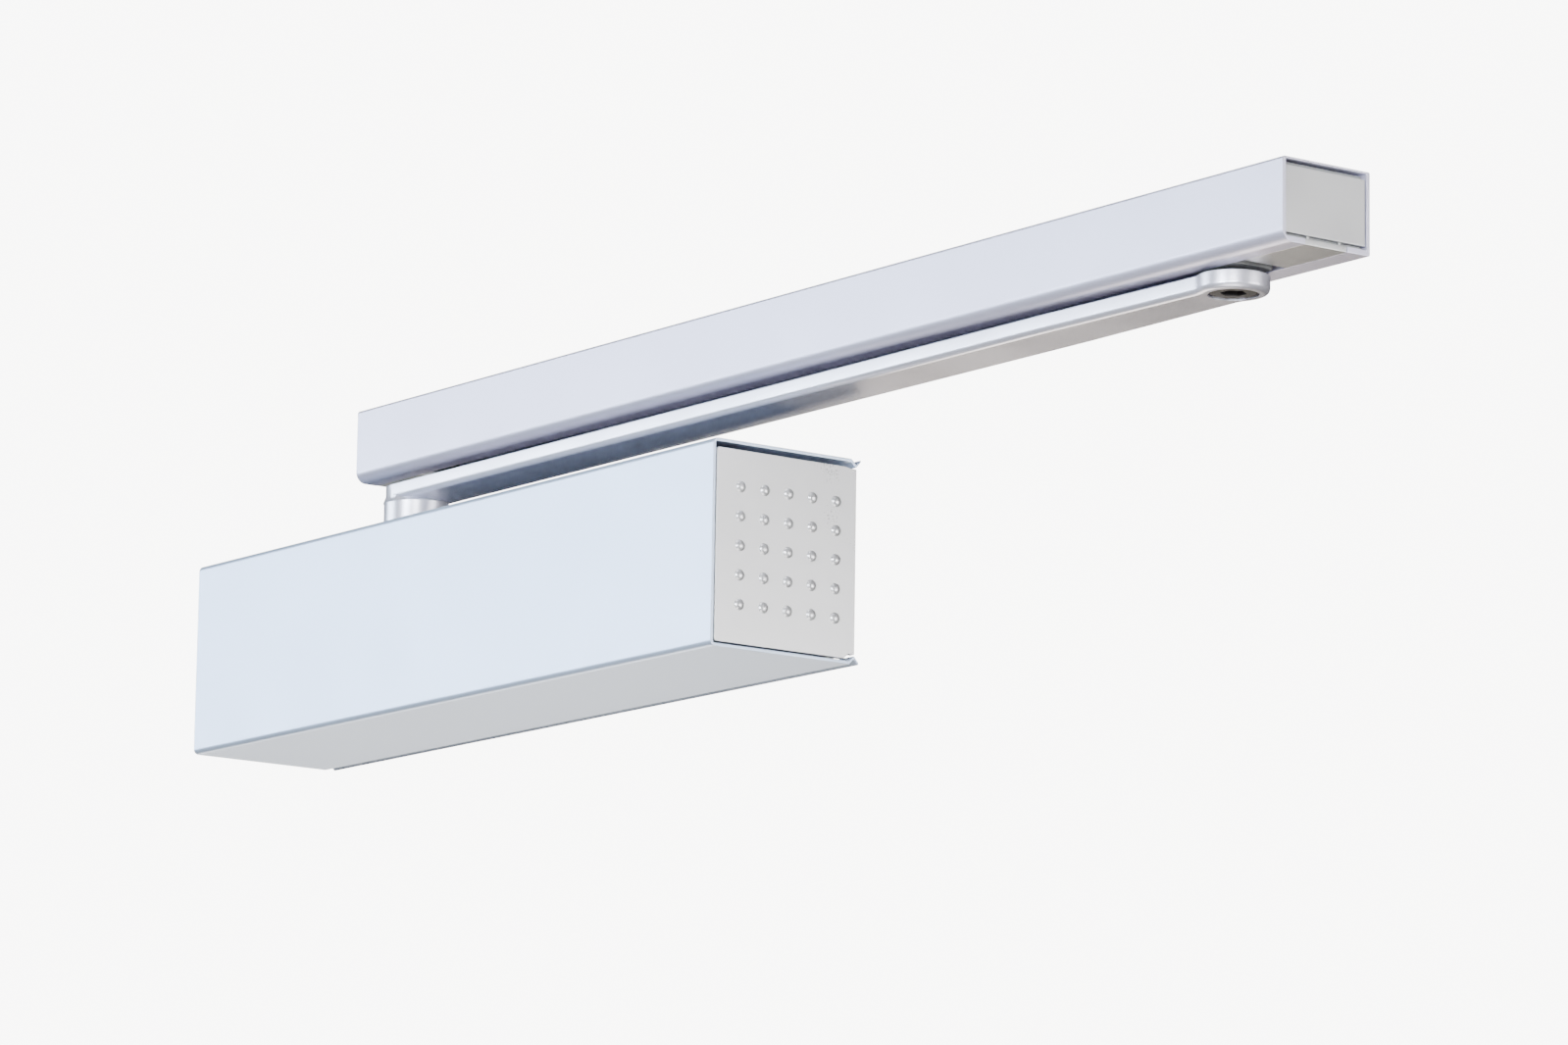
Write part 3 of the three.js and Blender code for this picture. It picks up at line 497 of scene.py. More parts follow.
def make_end_cap(node, name, side):
    """An end cap that steps under the cover's beads, with studs outside and two clips inside."""
    low, high = box_mm(node)
    face = (high[0] - CAP_FACE) if side > 0 else (low[0] + CAP_FACE)
    inner = face - side * CAP_THICKNESS
    front, rear = low[1], high[1]
    bottom, top = low[2], high[2] - CAP_SEAM
    cover_top = box_mm("cover_profile")[1][2]
    step = cover_top - BEAD_DEPTH - COVER_WALL - CAP_SEAM
    step_start = rear - BEAD_WIDTH - CAP_BEAD_GAP
    step_end = rear - BEAD_WIDTH / 2 - CAP_BEAD_GAP
    outline = [
        (front, bottom, CAP_CORNER),
        (front, top, CAP_CORNER),
        (step_start, top, CAP_STEP_CORNER),
        (step_end, step, CAP_STEP_CORNER),
        (rear, step, CAP_STEP_CORNER),
        (rear, -step, CAP_STEP_CORNER),
        (step_end, -step, CAP_STEP_CORNER),
        (step_start, bottom, CAP_STEP_CORNER),
    ]
    cap = prism(rounded(outline), "X", min(face, inner), max(face, inner), "cap")
    soften(cap, 0.2, 3)
    clip_from, clip_to = sorted((inner + side * 0.5, inner - side * CLIP_REACH))
    clips = []
    for clip_bottom in (bottom + CLIP_INSET, top - CLIP_INSET - CLIP_THICKNESS):
        clip_top = clip_bottom + CLIP_THICKNESS
        clip = slab((clip_from, CLIP_FRONT, clip_bottom), (clip_to, CLIP_REAR, clip_top))
        clips.append(soften(clip, 0.3, 2))
    combine(cap, clips, "UNION")
    grid_y = middle_of("spring_adjuster")[1] + STUDS_REARWARD
    steps = [(i - 2) * STUD_PITCH for i in range(5)]
    studs = [stud(face, grid_y + dy, dz - STUDS_LOWER, side) for dy in steps for dz in steps]
    combine(cap, studs, "UNION")
    finish(cap, name, node)


make_cover()
make_end_cap("cover_end_cap_right", "cover_cap_right", 1)
make_end_cap("cover_end_cap_left", "cover_cap_left", -1)


# ---- Arm ----

ARM_THICKNESS = 5
ARM_END_RADIUS = 9.4
ARM_NECK = 8.3
ARM_NECK_LENGTH = 70
BLADE_BOTTOM = 41.6  # the blade's underside at the hub
HUB_RADIUS = 9.9
BOSS_RADIUS = 9.8
RECESS_RADIUS = 7
RECESS_DEPTH = 3.4
LOWER_EDGE = 1.7
UPPER_EDGE = 0.3
NECK_FILLET = 9
SQUARE_HOLE = 5.5  # half the width of the hole for the spindle's square
SQUARE_HOLE_TOP = 42.1
ARM_SCREW_HOLE = 3.6
ARM_SCREW_MOUTH = 7.8
PIN_INSET = 0.4
PIN_RADIUS = 4
PIN_HOLE_RADIUS = 4.3
PIN_HEAD_RADIUS = 6.7
PIN_HEAD_HEIGHT = 2.7
NEARLY = 0.01  # how close to a level a point counts as lying on it


def arm_outline(length):
    """The blade seen from above: a round end, straight sides, and the boss blended in by fillets."""
    across = ARM_NECK + NECK_FILLET
    back = math.sqrt((BOSS_RADIUS + NECK_FILLET) ** 2 - across ** 2)
    touch = math.degrees(math.atan2(across, -back))
    fillet = (length - back, across)
    blend = arc(fillet, NECK_FILLET, touch - 180, -90, 12)
    neck = length - ARM_NECK_LENGTH
    outline = arc((0, 0), ARM_END_RADIUS, 90, 270, 40)
    outline += [(neck, -ARM_END_RADIUS)]
    outline += [(x, -y) for x, y in reversed(blend)]
    outline += arc((length, 0), BOSS_RADIUS, -touch, touch, 64)[1:-1]
    outline += blend
    outline += [(neck, ARM_END_RADIUS)]
    return outline


def arm_blade(length, rise):
    """The blade along X, with well rounded lower edges. It rises evenly from the hub to the boss."""
    blade = prism(arm_outline(length), "Z", 0, ARM_THICKNESS, "arm")
    bm = bmesh.new()
    bm.from_mesh(blade.data)
    lower = [edge for edge in bm.edges if all(end.co.z < NEARLY for end in edge.verts)]
    bmesh.ops.bevel(bm, geom=lower, offset=LOWER_EDGE, segments=5, profile=0.5, affect="EDGES")
    upper = [edge for edge in bm.edges if all(end.co.z > ARM_THICKNESS - NEARLY for end in edge.verts)]
    bmesh.ops.bevel(bm, geom=upper, offset=UPPER_EDGE, segments=2, profile=0.5, affect="EDGES")
    bm.to_mesh(blade.data)
    bm.free()
    for vertex in blade.data.vertices:
        vertex.co.z += BLADE_BOTTOM + rise * max(0, min(vertex.co.x, length))
    return blade


def make_arm():
    """The arm: its blade, the hub under one end, and the holes for spindle, screw and slide pin."""
    hub_bottom = box_mm("arm")[0][2]
    boss_bottom = box_mm("slide_pin")[0][2] - PIN_INSET
    boss_top = boss_bottom + ARM_THICKNESS
    blade_top = BLADE_BOTTOM + ARM_THICKNESS
    length = math.hypot(pin_x - spindle_x, pin_y - axis_y)
    turn = math.atan2(pin_y - axis_y, pin_x - spindle_x)
    arm = arm_blade(length, (boss_bottom - BLADE_BOTTOM) / length)

    hub_top = BLADE_BOTTOM + 2
    hub = [(0, hub_bottom), (HUB_RADIUS - 0.4, hub_bottom), (HUB_RADIUS, hub_bottom + 0.4)]
    hub += [(HUB_RADIUS, BLADE_BOTTOM - 0.8), (HUB_RADIUS + 0.25, BLADE_BOTTOM - 0.3)]
    hub += [(HUB_RADIUS - 0.6, hub_top), (0, hub_top)]
    combine(arm, [lathe(hub, "Z", sides=96)], "UNION")

    cone_bottom = blade_top - 3.6
    cone = [(0, cone_bottom), (ARM_SCREW_HOLE, cone_bottom), (ARM_SCREW_MOUTH, blade_top + 0.3)]
    cone += [(ARM_SCREW_MOUTH, blade_top + 3), (0, blade_top + 3)]
    holes = [
        slab((-SQUARE_HOLE, -SQUARE_HOLE, hub_bottom - 1), (SQUARE_HOLE, SQUARE_HOLE, SQUARE_HOLE_TOP)),
        bar(ARM_SCREW_HOLE, SQUARE_HOLE_TOP - 1.1, blade_top + 2, "Z", sides=48),
        lathe(cone, "Z"),
        bar(RECESS_RADIUS, boss_bottom - 2, boss_bottom + RECESS_DEPTH, "Z", (length, 0), sides=72),
        bar(PIN_HOLE_RADIUS, boss_bottom + 3, boss_top + 3, "Z", (length, 0), sides=48),
    ]
    combine(arm, holes)
    arm.data.transform(Matrix.Translation((spindle_x, axis_y, 0)) @ Matrix.Rotation(turn, 4, "Z"))
    finish(arm, "arm_bar", "arm")


def make_slide_pin():
    """A shoulder screw with a hex socket in its head, in the recess of the arm's boss."""
    low, high = box_mm("slide_pin")
    head, tip = low[2], high[2]
    shoulder = head + PIN_HEAD_HEIGHT
    profile = [(0, head), (PIN_HEAD_RADIUS - 0.4, head), (PIN_HEAD_RADIUS, head + 0.4)]
    profile += [(PIN_HEAD_RADIUS, shoulder), (PIN_RADIUS, shoulder), (PIN_RADIUS, tip - 0.6)]
    profile += [(PIN_RADIUS - 0.6, tip), (0, tip)]
    socket = [(0, head - 1), (HEX_RADIUS + 0.24, head - 1), (HEX_RADIUS + 0.24, head)]
    socket += [(HEX_RADIUS, head + 0.25), (HEX_RADIUS, head + 2), (0, head + 2)]
    at = (pin_x, pin_y)
    pin = combine(lathe(profile, "Z", at, 72), [lathe(socket, "Z", at, 6)])
    finish(pin, "arm_pin", "slide_pin")


make_arm()
make_slide_pin()


# ---- Rail ----

RAIL_WALL = 1.2
RAIL_ROOF = 0.6
RAIL_LIP = 1.6
RAIL_SLOT = 14.6
RAIL_FRONT_RADIUS = 3.4
RAIL_EDGE_RADIUS = 0.5
RAIL_TOP_RADIUS = 0.9
RAIL_SEAM = 0.15  # between the end cap's plate and the rail's front wall
RAIL_REAR_SEAM = 0.4  # between the end cap's plate and the rail's rear wall
RAIL_CAP_THICKNESS = 1.2
RAIL_CAP_RISE = 0.9  # from the rail's lips to the end cap's plate
RIB_WIDTH = 0.6  # the two ribs that join an end cap's plate to its foot
RIB_PLACE = 5.5
RIB_INSET = 0.95
FOOT_GAP = 0.08  # on each side of an end cap's foot, in the slot
FOOT_RECESS = 0.04  # from the rail's underside up to the foot's


def make_rail():
    """A square tube with a slot along its underside, and its front lower edge well rounded."""
    low, high = box_mm("rail_profile")
    front, rear, bottom, top = low[1], high[1], low[2], high[2]
    middle = (front + rear) / 2
    slot_front, slot_rear = middle - RAIL_SLOT / 2, middle + RAIL_SLOT / 2
    floor = bottom + RAIL_LIP
    roof = top - RAIL_ROOF
    outline = [
        (front, bottom, RAIL_FRONT_RADIUS),
        (front, top, RAIL_TOP_RADIUS),
        (rear, top, RAIL_EDGE_RADIUS),
        (rear, bottom, RAIL_EDGE_RADIUS),
        (slot_rear, bottom, 0.25),
        (slot_rear, floor, 0),
        (rear - RAIL_WALL, floor, 0.3),
        (rear - RAIL_WALL, roof, 0.2),
        (front + RAIL_WALL, roof, 0.2),
        (front + RAIL_WALL, floor, 0.3),
        (slot_front, floor, 0),
        (slot_front, bottom, 0.25),
    ]
    rail = soften(prism(rounded(outline, 8), "X", low[0], high[0], "rail"), 0.15, 2, 40)
    holes = []
    for side in ("left", "right"):
        x, _, z = middle_of(f"rail_end_screw_{side}")
        holes.append(hole(2.8, rear, rear - 3, "Y", (x, z), 0.2))
    combine(rail, holes)
    finish(rail, "rail_shell", "rail_profile")


def make_rail_cap(side):
    """An end cap: a plate inside the rail's end, joined by two ribs to a foot that fills the slot."""
    node = f"rail_end_cap_{side}"
    low, high = box_mm(node)
    rail_low, rail_high = box_mm("rail_profile")
    outward = 1 if side == "right" else -1
    outer = high[0] if outward > 0 else low[0]
    inner = outer - outward * RAIL_CAP_THICKNESS
    floor = rail_low[2] + RAIL_LIP
    front = rail_low[1] + RAIL_WALL + RAIL_SEAM
    rear = rail_high[1] - RAIL_WALL - RAIL_REAR_SEAM
    x0, x1 = sorted((outer, inner))
    plate = slab((x0, front, floor + RAIL_CAP_RISE), (x1, rear, high[2]), "cap")
    soften(plate, 0.2, 3)
    middle = (rail_low[1] + rail_high[1]) / 2
    half = RAIL_SLOT / 2 - FOOT_GAP
    bottom = rail_low[2] + FOOT_RECESS
    foot = soften(slab((low[0], middle - half, bottom), (high[0], middle + half, floor)), 0.12, 2)
    rib_from, rib_to = sorted((outer - outward * RIB_INSET, inner))
    rib_bottom, rib_top = floor - 0.5, floor + RAIL_CAP_RISE + 0.5
    ribs = [
        slab((rib_from, y - RIB_WIDTH / 2, rib_bottom), (rib_to, y + RIB_WIDTH / 2, rib_top))
        for y in (middle - RIB_PLACE, middle + RIB_PLACE)
    ]
    combine(plate, [foot, *ribs], "UNION")
    finish(plate, f"rail_cap_{side}", node)


make_rail()
make_rail_cap("left")
make_rail_cap("right")


# ---- Mounting plate, housing and their screws ----

PLATE_CORNER = 3
DOOR_HOLE_X = 81
DOOR_HOLE_Z = 8
DOOR_HOLE_RADIUS = 3.2
DOOR_HOLE_HEAD = 5.6
HOUSING_CHAMFER = 3
BORE_RADIUS = 17
CHAMBER_RADIUS = 19.6
CHAMBER_FLOOR = -7.3
LOWER_BORE_RADIUS = 12
HEAD_RADIUS = 5
HEAD_DEPTH = 6
SHANK_RADIUS = 3
VALVE_RADIUS = 3
VALVES = ("latch_valve", "sweep_valve", "backcheck_valve")
HOUSING_SCREWS = [f"housing_screw_{number}" for number in range(1, 5)]


def front_place(node):
    """Where a piece that lies along Y sits on the front, as (x, z)."""
    x, _, z = middle_of(node)
    return x, z


def make_plate():
    """The mounting plate, with four countersunk holes for the door and four for the housing's screws."""
    low, high = box_mm("mounting_plate")
    corners = [(low[0], low[2]), (high[0], low[2]), (high[0], high[2]), (low[0], high[2])]
    plate = prism(rounded([(x, z, PLATE_CORNER) for x, z in corners]), "Y", low[1], high[1])
    soften(plate, 0.3, 2)
    front = low[1]
    cone_end = front + DOOR_HOLE_HEAD - DOOR_HOLE_RADIUS
    cone = [(0, front - 1), (DOOR_HOLE_HEAD + 1, front - 1), (DOOR_HOLE_RADIUS, cone_end)]
    cone += [(DOOR_HOLE_RADIUS, high[1] + 1), (0, high[1] + 1)]
    places = [(x, z) for x in (-DOOR_HOLE_X, DOOR_HOLE_X) for z in (-DOOR_HOLE_Z, DOOR_HOLE_Z)]
    tools = [lathe(cone, "Y", at) for at in places]
    for node in HOUSING_SCREWS:
        tools.append(hole(SHANK_RADIUS + CLEARANCE, front, high[1] + 1, "Y", front_place(node)))
    combine(plate, tools)
    finish(plate, "door_plate", "mounting_plate")


def make_housing():
    """The closer's body: a bore along it, the spindle's chamber across it, and its screw holes."""
    low, high = box_mm("housing")
    front, rear, bottom, top = low[1], high[1], low[2], high[2]
    outline = [
        (rear, bottom, 0.4),
        (rear, top, 0.4),
        (front + HOUSING_CHAMFER, top, 1),
        (front, top - HOUSING_CHAMFER, 1),
        (front, bottom + HOUSING_CHAMFER, 1),
        (front + HOUSING_CHAMFER, bottom, 1),
    ]
    body = soften(prism(rounded(outline), "X", low[0], high[0]), 0.4, 3)
    bore = [(0, low[0] - 1), (BORE_RADIUS + 1.8, low[0] - 1), (BORE_RADIUS, low[0] + 0.8)]
    bore += [(BORE_RADIUS, high[0] - 0.8), (BORE_RADIUS + 1.8, high[0] + 1), (0, high[0] + 1)]
    tools = [
        lathe(bore, "X", (axis_y, 0), 128),
        hole(CHAMBER_RADIUS, top, CHAMBER_FLOOR, "Z", (spindle_x, axis_y), 0.5, 128),
        hole(LOWER_BORE_RADIUS, bottom, CHAMBER_FLOOR + 1, "Z", (spindle_x, axis_y), 0.4, 96),
    ]
    for node in HOUSING_SCREWS:
        at = front_place(node)
        tools.append(hole(HEAD_RADIUS + CLEARANCE, front, front + HEAD_DEPTH + CLEARANCE, "Y", at))
        tools.append(bar(SHANK_RADIUS + CLEARANCE, front + HEAD_DEPTH, rear + 1, "Y", at))
    for node in VALVES:
        depth = box_mm(node)[1][1] + CLEARANCE
        tools.append(hole(VALVE_RADIUS + CLEARANCE, front, depth, "Y", front_place(node), 0.3))
    combine(body, tools)
    finish(body, "closer_housing", "housing")


def hex_socket(radius, mouth, end, axis, centre):
    """Two cutting tools: a bar with six sides, and a round lead-in at its mouth."""
    socket = hole(radius, mouth, end, axis, centre, 0, 6)
    inward = 1 if end > mouth else -1
    lead_end = mouth + inward * 0.5
    lead = [(0, mouth - inward), (radius + 0.6, mouth - inward), (radius * 0.9, lead_end), (0, lead_end)]
    return [socket, lathe(lead, axis, centre)]


def make_housing_screw(node):
    """A socket head screw that holds the housing on the plate."""
    low, high = box_mm(node)
    head, tail = low[1], high[1]
    under = head + HEAD_DEPTH
    profile = [(0, head), (HEAD_RADIUS - 0.5, head), (HEAD_RADIUS, head + 0.5), (HEAD_RADIUS, under - 0.2)]
    profile += [(HEAD_RADIUS - 0.2, under), (SHANK_RADIUS, under), (SHANK_RADIUS, tail - 0.6)]
    profile += [(SHANK_RADIUS - 0.6, tail), (0, tail)]
    at = front_place(node)
    screw = combine(lathe(profile, "Y", at), hex_socket(2.6, head, head + 3, "Y", at))
    finish(screw, node.replace("housing_screw", "body_screw"), node)


def make_valve(node):
    """A regulating screw with a slot, a seal groove and a long cone."""
    low, high = box_mm(node)
    head, tip = low[1], high[1]
    at = front_place(node)
    groove = VALVE_RADIUS - 0.5
    profile = [(0, head), (VALVE_RADIUS - 0.3, head), (VALVE_RADIUS, head + 0.3), (VALVE_RADIUS, head + 3.6)]
    profile += [(groove, head + 3.8), (groove, head + 5), (VALVE_RADIUS, head + 5.2)]
    profile += [(VALVE_RADIUS, tip - 3), (0.8, tip - 0.2), (0.6, tip), (0, tip)]
    slot = slab((at[0] - 4, head - 1, at[1] - 0.5), (at[0] + 4, head + 1.2, at[1] + 0.5))
    finish(combine(lathe(profile, "Y", at), [slot]), f"{node}_screw", node)


make_plate()
make_housing()
for screw_node in HOUSING_SCREWS:
    make_housing_screw(screw_node)
for valve_node in VALVES:
    make_valve(valve_node)


# ---- End plugs, springs and the spring adjuster ----

PLUG_LENGTH = 15
PLUG_RADIUS = 16.7
SEAL_PLACE = 3  # from a plug's inner end to its seal
SEAL_RADIUS = 15.8
SEAL_SECTION = 0.85
SPANNER_HOLE_PLACE = 11
SPANNER_HOLE_RADIUS = 1.8
ADJUSTER_RADIUS = 4
THREAD_PITCH = 1.25
THREAD_DEPTH = 0.6


def make_end_plug(node, seal_node, side):
    """A plug that closes the housing's bore, and the round seal in its groove."""
    low, high = box_mm(node)
    outer = high[0] if side > 0 else low[0]
    inner = outer - side * PLUG_LENGTH
    groove = inner + side * SEAL_PLACE
    floor = SEAL_RADIUS - SEAL_SECTION - CLEARANCE
    steps = [(0, inner), (PLUG_RADIUS - 0.5, inner), (PLUG_RADIUS, inner + side * 0.5)]
    steps += [(PLUG_RADIUS, groove - side * 1.2), (floor, groove - side * 1.2)]
    steps += [(floor, groove + side * 1.2), (PLUG_RADIUS, groove + side * 1.2)]
    steps += [(PLUG_RADIUS, outer - side * 0.9), (PLUG_RADIUS - 0.9, outer), (14, outer)]
    steps += [(13.7, outer - side * 0.3), (7.9, outer - side * 0.3), (7.6, outer), (0, outer)]
    plug = lathe(steps, "X", (axis_y, 0), 128)
    tools = [
        hole(SPANNER_HOLE_RADIUS, outer, outer - side * 5, "X", (axis_y, z), 0.3)
        for z in (-SPANNER_HOLE_PLACE, SPANNER_HOLE_PLACE)
    ]
    if side > 0:
        tools.append(hole(ADJUSTER_RADIUS + CLEARANCE, outer, inner - 1, "X", (axis_y, 0)))
    else:
        tools += hex_socket(4.6, outer, outer + 5, "X", (axis_y, 0))
    finish(combine(plug, tools), node.replace("_end", "_cap"), node)
    ring = lathe(arc((SEAL_RADIUS, groove), SEAL_SECTION, 0, 360, 20)[:-1], "X", (axis_y, 0), 128)
    finish(ring, seal_node.replace("_seal", "_ring"), seal_node)


def coil(radius, wire, turns, low, high, hand, sides=16, per_turn=48):
    """A compression spring along X, with a closed turn at each end."""
    start, end = low + wire, high - wire
    closed = 2.1 * wire
    pitch = (end - start - 2 * closed) / (turns - 2)
    bm = bmesh.new()
    rings = []
    count = turns * per_turn
    for i in range(count + 1):
        turn = i / per_turn
        along = start + closed * min(turn, 1) + pitch * min(max(turn - 1, 0), turns - 2)
        along += closed * max(turn - turns + 1, 0)
        angle = hand * 2 * math.pi * turn
        ring = []
        for k in range(sides):
            around = 2 * math.pi * k / sides
            reach = radius + wire * math.cos(around)
            y = axis_y + reach * math.cos(angle)
            ring.append(bm.verts.new((along + wire * math.sin(around), y, reach * math.sin(angle))))
        rings.append(ring)
    bridge(bm, rings)
    return object_from("spring", bm)


def bridge(bm, rings):
    """Joins rings of points in turn and closes both ends."""
    bm.faces.new(rings[0])
    bm.faces.new(rings[-1])
    for ring, after in zip(rings, rings[1:]):
        for k in range(len(ring)):
            j = (k + 1) % len(ring)
            bm.faces.new([ring[k], ring[j], after[j], after[k]])


def threaded_rod(radius, low, high, sides=48):
    """A rod along X with a helical thread that fades out at both ends."""
    bm = bmesh.new()
    rings = []
    count = round((high - low) / THREAD_PITCH * 8)
    for i in range(count + 1):
        along = low + (high - low) * i / count
        fade = min(1, (along - low) / THREAD_PITCH, (high - along) / THREAD_PITCH)
        ring = []
        for k in range(sides):
            phase = (along / THREAD_PITCH + k / sides) % 1
            reach = radius - THREAD_DEPTH * abs(2 * phase - 1) * fade
            angle = 2 * math.pi * k / sides
            ring.append(bm.verts.new((along, axis_y + reach * math.cos(angle), reach * math.sin(angle))))
        rings.append(ring)
    bridge(bm, rings)
    return object_from("rod", bm)


def make_springs():
    """Both closing springs, each with a mesh of its own."""
    for node, name, radius, wire, turns, hand in (
        ("outer_spring", "closing_spring_outer", 12.6, 2.1, 10, 1),
        ("inner_spring", "closing_spring_inner", 7.1, 1.2, 13, -1),
    ):
        low, high = box_mm(node)
        spring = finish(coil(radius, wire, turns, low[0], high[0], hand), name, node)
        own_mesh(spring)


def make_adjuster():
    """The spring adjuster: a hex socket head, a plain collar and a threaded rod."""
    low, high = box_mm("spring_adjuster")
    head_radius = (high[2] - low[2]) / 2
    head_from = high[0] - 3.7
    profile = [(0, head_from), (head_radius - 0.3, head_from), (head_radius, head_from + 0.3)]
    profile += [(head_radius, high[0] - 0.6), (head_radius - 0.6, high[0]), (0, high[0])]
    head = lathe(profile, "X", (axis_y, 0))
    combine(head, hex_socket(HEX_RADIUS, high[0], high[0] - 2.6, "X", (axis_y, 0)))
    thread_end = box_mm("spring_end_plug")[0][0]
    rod = threaded_rod(ADJUSTER_RADIUS, low[0], thread_end + 0.5)
    collar = bar(ADJUSTER_RADIUS, thread_end, head_from + 0.5, "X", (axis_y, 0))
    finish(combine(head, [rod, collar], "UNION"), "adjusting_screw", "spring_adjuster")


def make_spring_plate():
    """A round plate with a collar, on the adjuster's thread."""
    low, high = box_mm("spring_plate")
    back, face, collar_end = low[0], low[0] + 4, high[0]
    rim = PLUG_RADIUS - 0.4
    profile = [(0, back), (rim, back), (PLUG_RADIUS, back + 0.4), (PLUG_RADIUS, face - 0.4), (rim, face)]
    profile += [(8.6, face), (8, face + 0.6), (8, collar_end - 0.5), (7.5, collar_end), (0, collar_end)]
    plate = lathe(profile, "X", (axis_y, 0), 128)
    combine(plate, [hole(ADJUSTER_RADIUS + CLEARANCE, collar_end, back - 1, "X", (axis_y, 0))])
    finish(plate, "spring_seat", "spring_plate")


make_end_plug("spring_end_plug", "spring_plug_seal", 1)
make_end_plug("damping_end_plug", "damping_plug_seal", -1)
make_springs()
make_adjuster()
make_spring_plate()


# ---- Spindle, bearings, rollers, rods and rings ----

SPINDLE_RADIUS = 8
SPINDLE_SQUARE = 5.2
CAM_HALF_HEIGHT = 6
ROLLER_RADIUS = 7
CAM_START = 14.3  # spindle axis to roller centre at the cam's notch
CAM_RISE = 3.8  # roller travel per radian of spindle turn
CAM_POINTS = 240
SCREW_HOLE_RADIUS = 3.6
SCREW_HOLE_END = 22
SPANNER_RADIUS = 15.3
PISTON_RADIUS = 16.7
PISTON_GROOVE_RADIUS = 14.9
FORK_REACH = 7.7  # roller centre to the piston's face
EAR_INNER = 6.4
EAR_OUTER = 13
EAR_HALF_WIDTH = 8
EAR_RADIUS = 5
OIL_BORE_RADIUS = 6
CHECK_VALVE_RADIUS = 3


def cam_radius(direction, steps=720):
    """The cam's radius in one direction: what the rollers' evenly moving circles leave."""
    clear = ROLLER_RADIUS + CLEARANCE
    radius = math.inf
    for i in range(steps):
        angle = -math.pi + 2 * math.pi * i / steps
        centre = CAM_START + CAM_RISE * abs(angle)
        side = centre * math.sin(direction - angle)
        along = centre * math.cos(direction - angle)
        if along > 0 and abs(side) < clear:
            radius = min(radius, along - math.sqrt(clear ** 2 - side ** 2))
    return radius


def make_spindle():
    """The spindle, with its heart-shaped cam in the middle and a square for the arm on top."""
    low, high = box_mm("cam_spindle")
    shoulder = box_mm("arm")[0][2] - CLEARANCE
    outline = []
    for i in range(CAM_POINTS):
        angle = -math.pi + 2 * math.pi * (i + 0.5) / CAM_POINTS
        radius = cam_radius(angle)
        outline.append((spindle_x + radius * math.cos(angle), axis_y + radius * math.sin(angle)))
    cam = soften(prism(outline, "Z", -CAM_HALF_HEIGHT, CAM_HALF_HEIGHT), 0.4, 2, 50)
    inside = CAM_HALF_HEIGHT - 0.2
    lower_shaft = bar(SPINDLE_RADIUS, low[2], -inside, "Z", (spindle_x, axis_y), 0.5, 96)
    upper_shaft = bar(SPINDLE_RADIUS, inside, shoulder, "Z", (spindle_x, axis_y), 0.5, 96)
    side = SPINDLE_SQUARE
    square = slab((spindle_x - side, axis_y - side, shoulder - 1), (spindle_x + side, axis_y + side, high[2]))
    combine(cam, [lower_shaft, upper_shaft, soften(square, 0.5, 2)], "UNION")
    combine(cam, [hole(SCREW_HOLE_RADIUS, high[2], SCREW_HOLE_END, "Z", (spindle_x, axis_y))])
    finish(cam, "spindle_with_cam", "cam_spindle")


def make_upper_cap():
    """A ring that holds the upper bearing, with two holes for a pin spanner."""
    low, high = box_mm("upper_bearing_cap")
    outer = (high[0] - low[0]) / 2
    seat = 21.5
    profile = [(outer, low[2]), (outer, high[2] - 0.5), (outer - 0.5, high[2]), (11.8, high[2])]
    profile += [(11.3, high[2] - 0.5), (11.3, seat), (13, seat), (13, low[2])]
    cap = lathe(profile, "Z", (spindle_x, axis_y), 128)
    places = [(spindle_x + offset, axis_y) for offset in (-SPANNER_RADIUS, SPANNER_RADIUS)]
    combine(cap, [hole(1.6, high[2], high[2] - 4, "Z", at, 0.25) for at in places])
    finish(cap, "bearing_nut", "upper_bearing_cap")


def make_lower_cap():
    """A plug with a hex socket under the lower bearing."""
    low, high = box_mm("lower_bearing_cap")
    at = (spindle_x, axis_y)
    disc = bar((high[0] - low[0]) / 2, low[2], high[2], "Z", at, 0.4, 96)
    finish(combine(disc, hex_socket(5, low[2], low[2] + 1.6, "Z", at)), "bearing_plug", "lower_bearing_cap")


def make_arm_screw():
    """A countersunk screw that holds the arm on the spindle."""
    low, high = box_mm("arm_screw")
    at = (spindle_x, axis_y)
    head = (high[0] - low[0]) / 2
    cone_end = high[2] - 3.3
    profile = [(0, high[2]), (head - 0.3, high[2]), (head, high[2] - 0.25), (3.3, cone_end)]
    profile += [(3.3, low[2] + 0.6), (2.7, low[2]), (0, low[2])]
    screw = combine(lathe(profile, "Z", at), hex_socket(2.9, high[2], high[2] - 2.4, "Z", at))
    finish(screw, "arm_fixing_screw", "arm_screw")


def cross_centre(node, axis):
    """A node's centre across an axis, its half width and its ends along the axis."""
    low, high = box_mm(node)
    u, v, along = AXES[axis]
    centre = ((low[u] + high[u]) / 2, (low[v] + high[v]) / 2)
    return centre, (high[u] - low[u]) / 2, low[along], high[along]


RINGS = {
    "upper_bearing": ("upper_needle_ring", "Z", 8.3),
    "lower_bearing": ("lower_needle_ring", "Z", 8.3),
    "spindle_seal": ("spindle_lip_seal", "Z", 8.3),
    "spring_roller": ("spring_cam_roller", "Z", 3.3),
    "damping_roller": ("damping_cam_roller", "Z", 3.3),
    "piston_ring": ("piston_guide_ring", "X", 15.2),
    "pin_washer": ("slide_washer", "Z", 4.3),
}
BARS = {
    "front_tie_rod": ("front_rod", "X"),
    "rear_tie_rod": ("rear_rod", "X"),
    "spring_roller_axle": ("spring_roller_pin", "Z"),
    "damping_roller_axle": ("damping_roller_pin", "Z"),
    "check_valve": ("relief_valve", "X"),
}


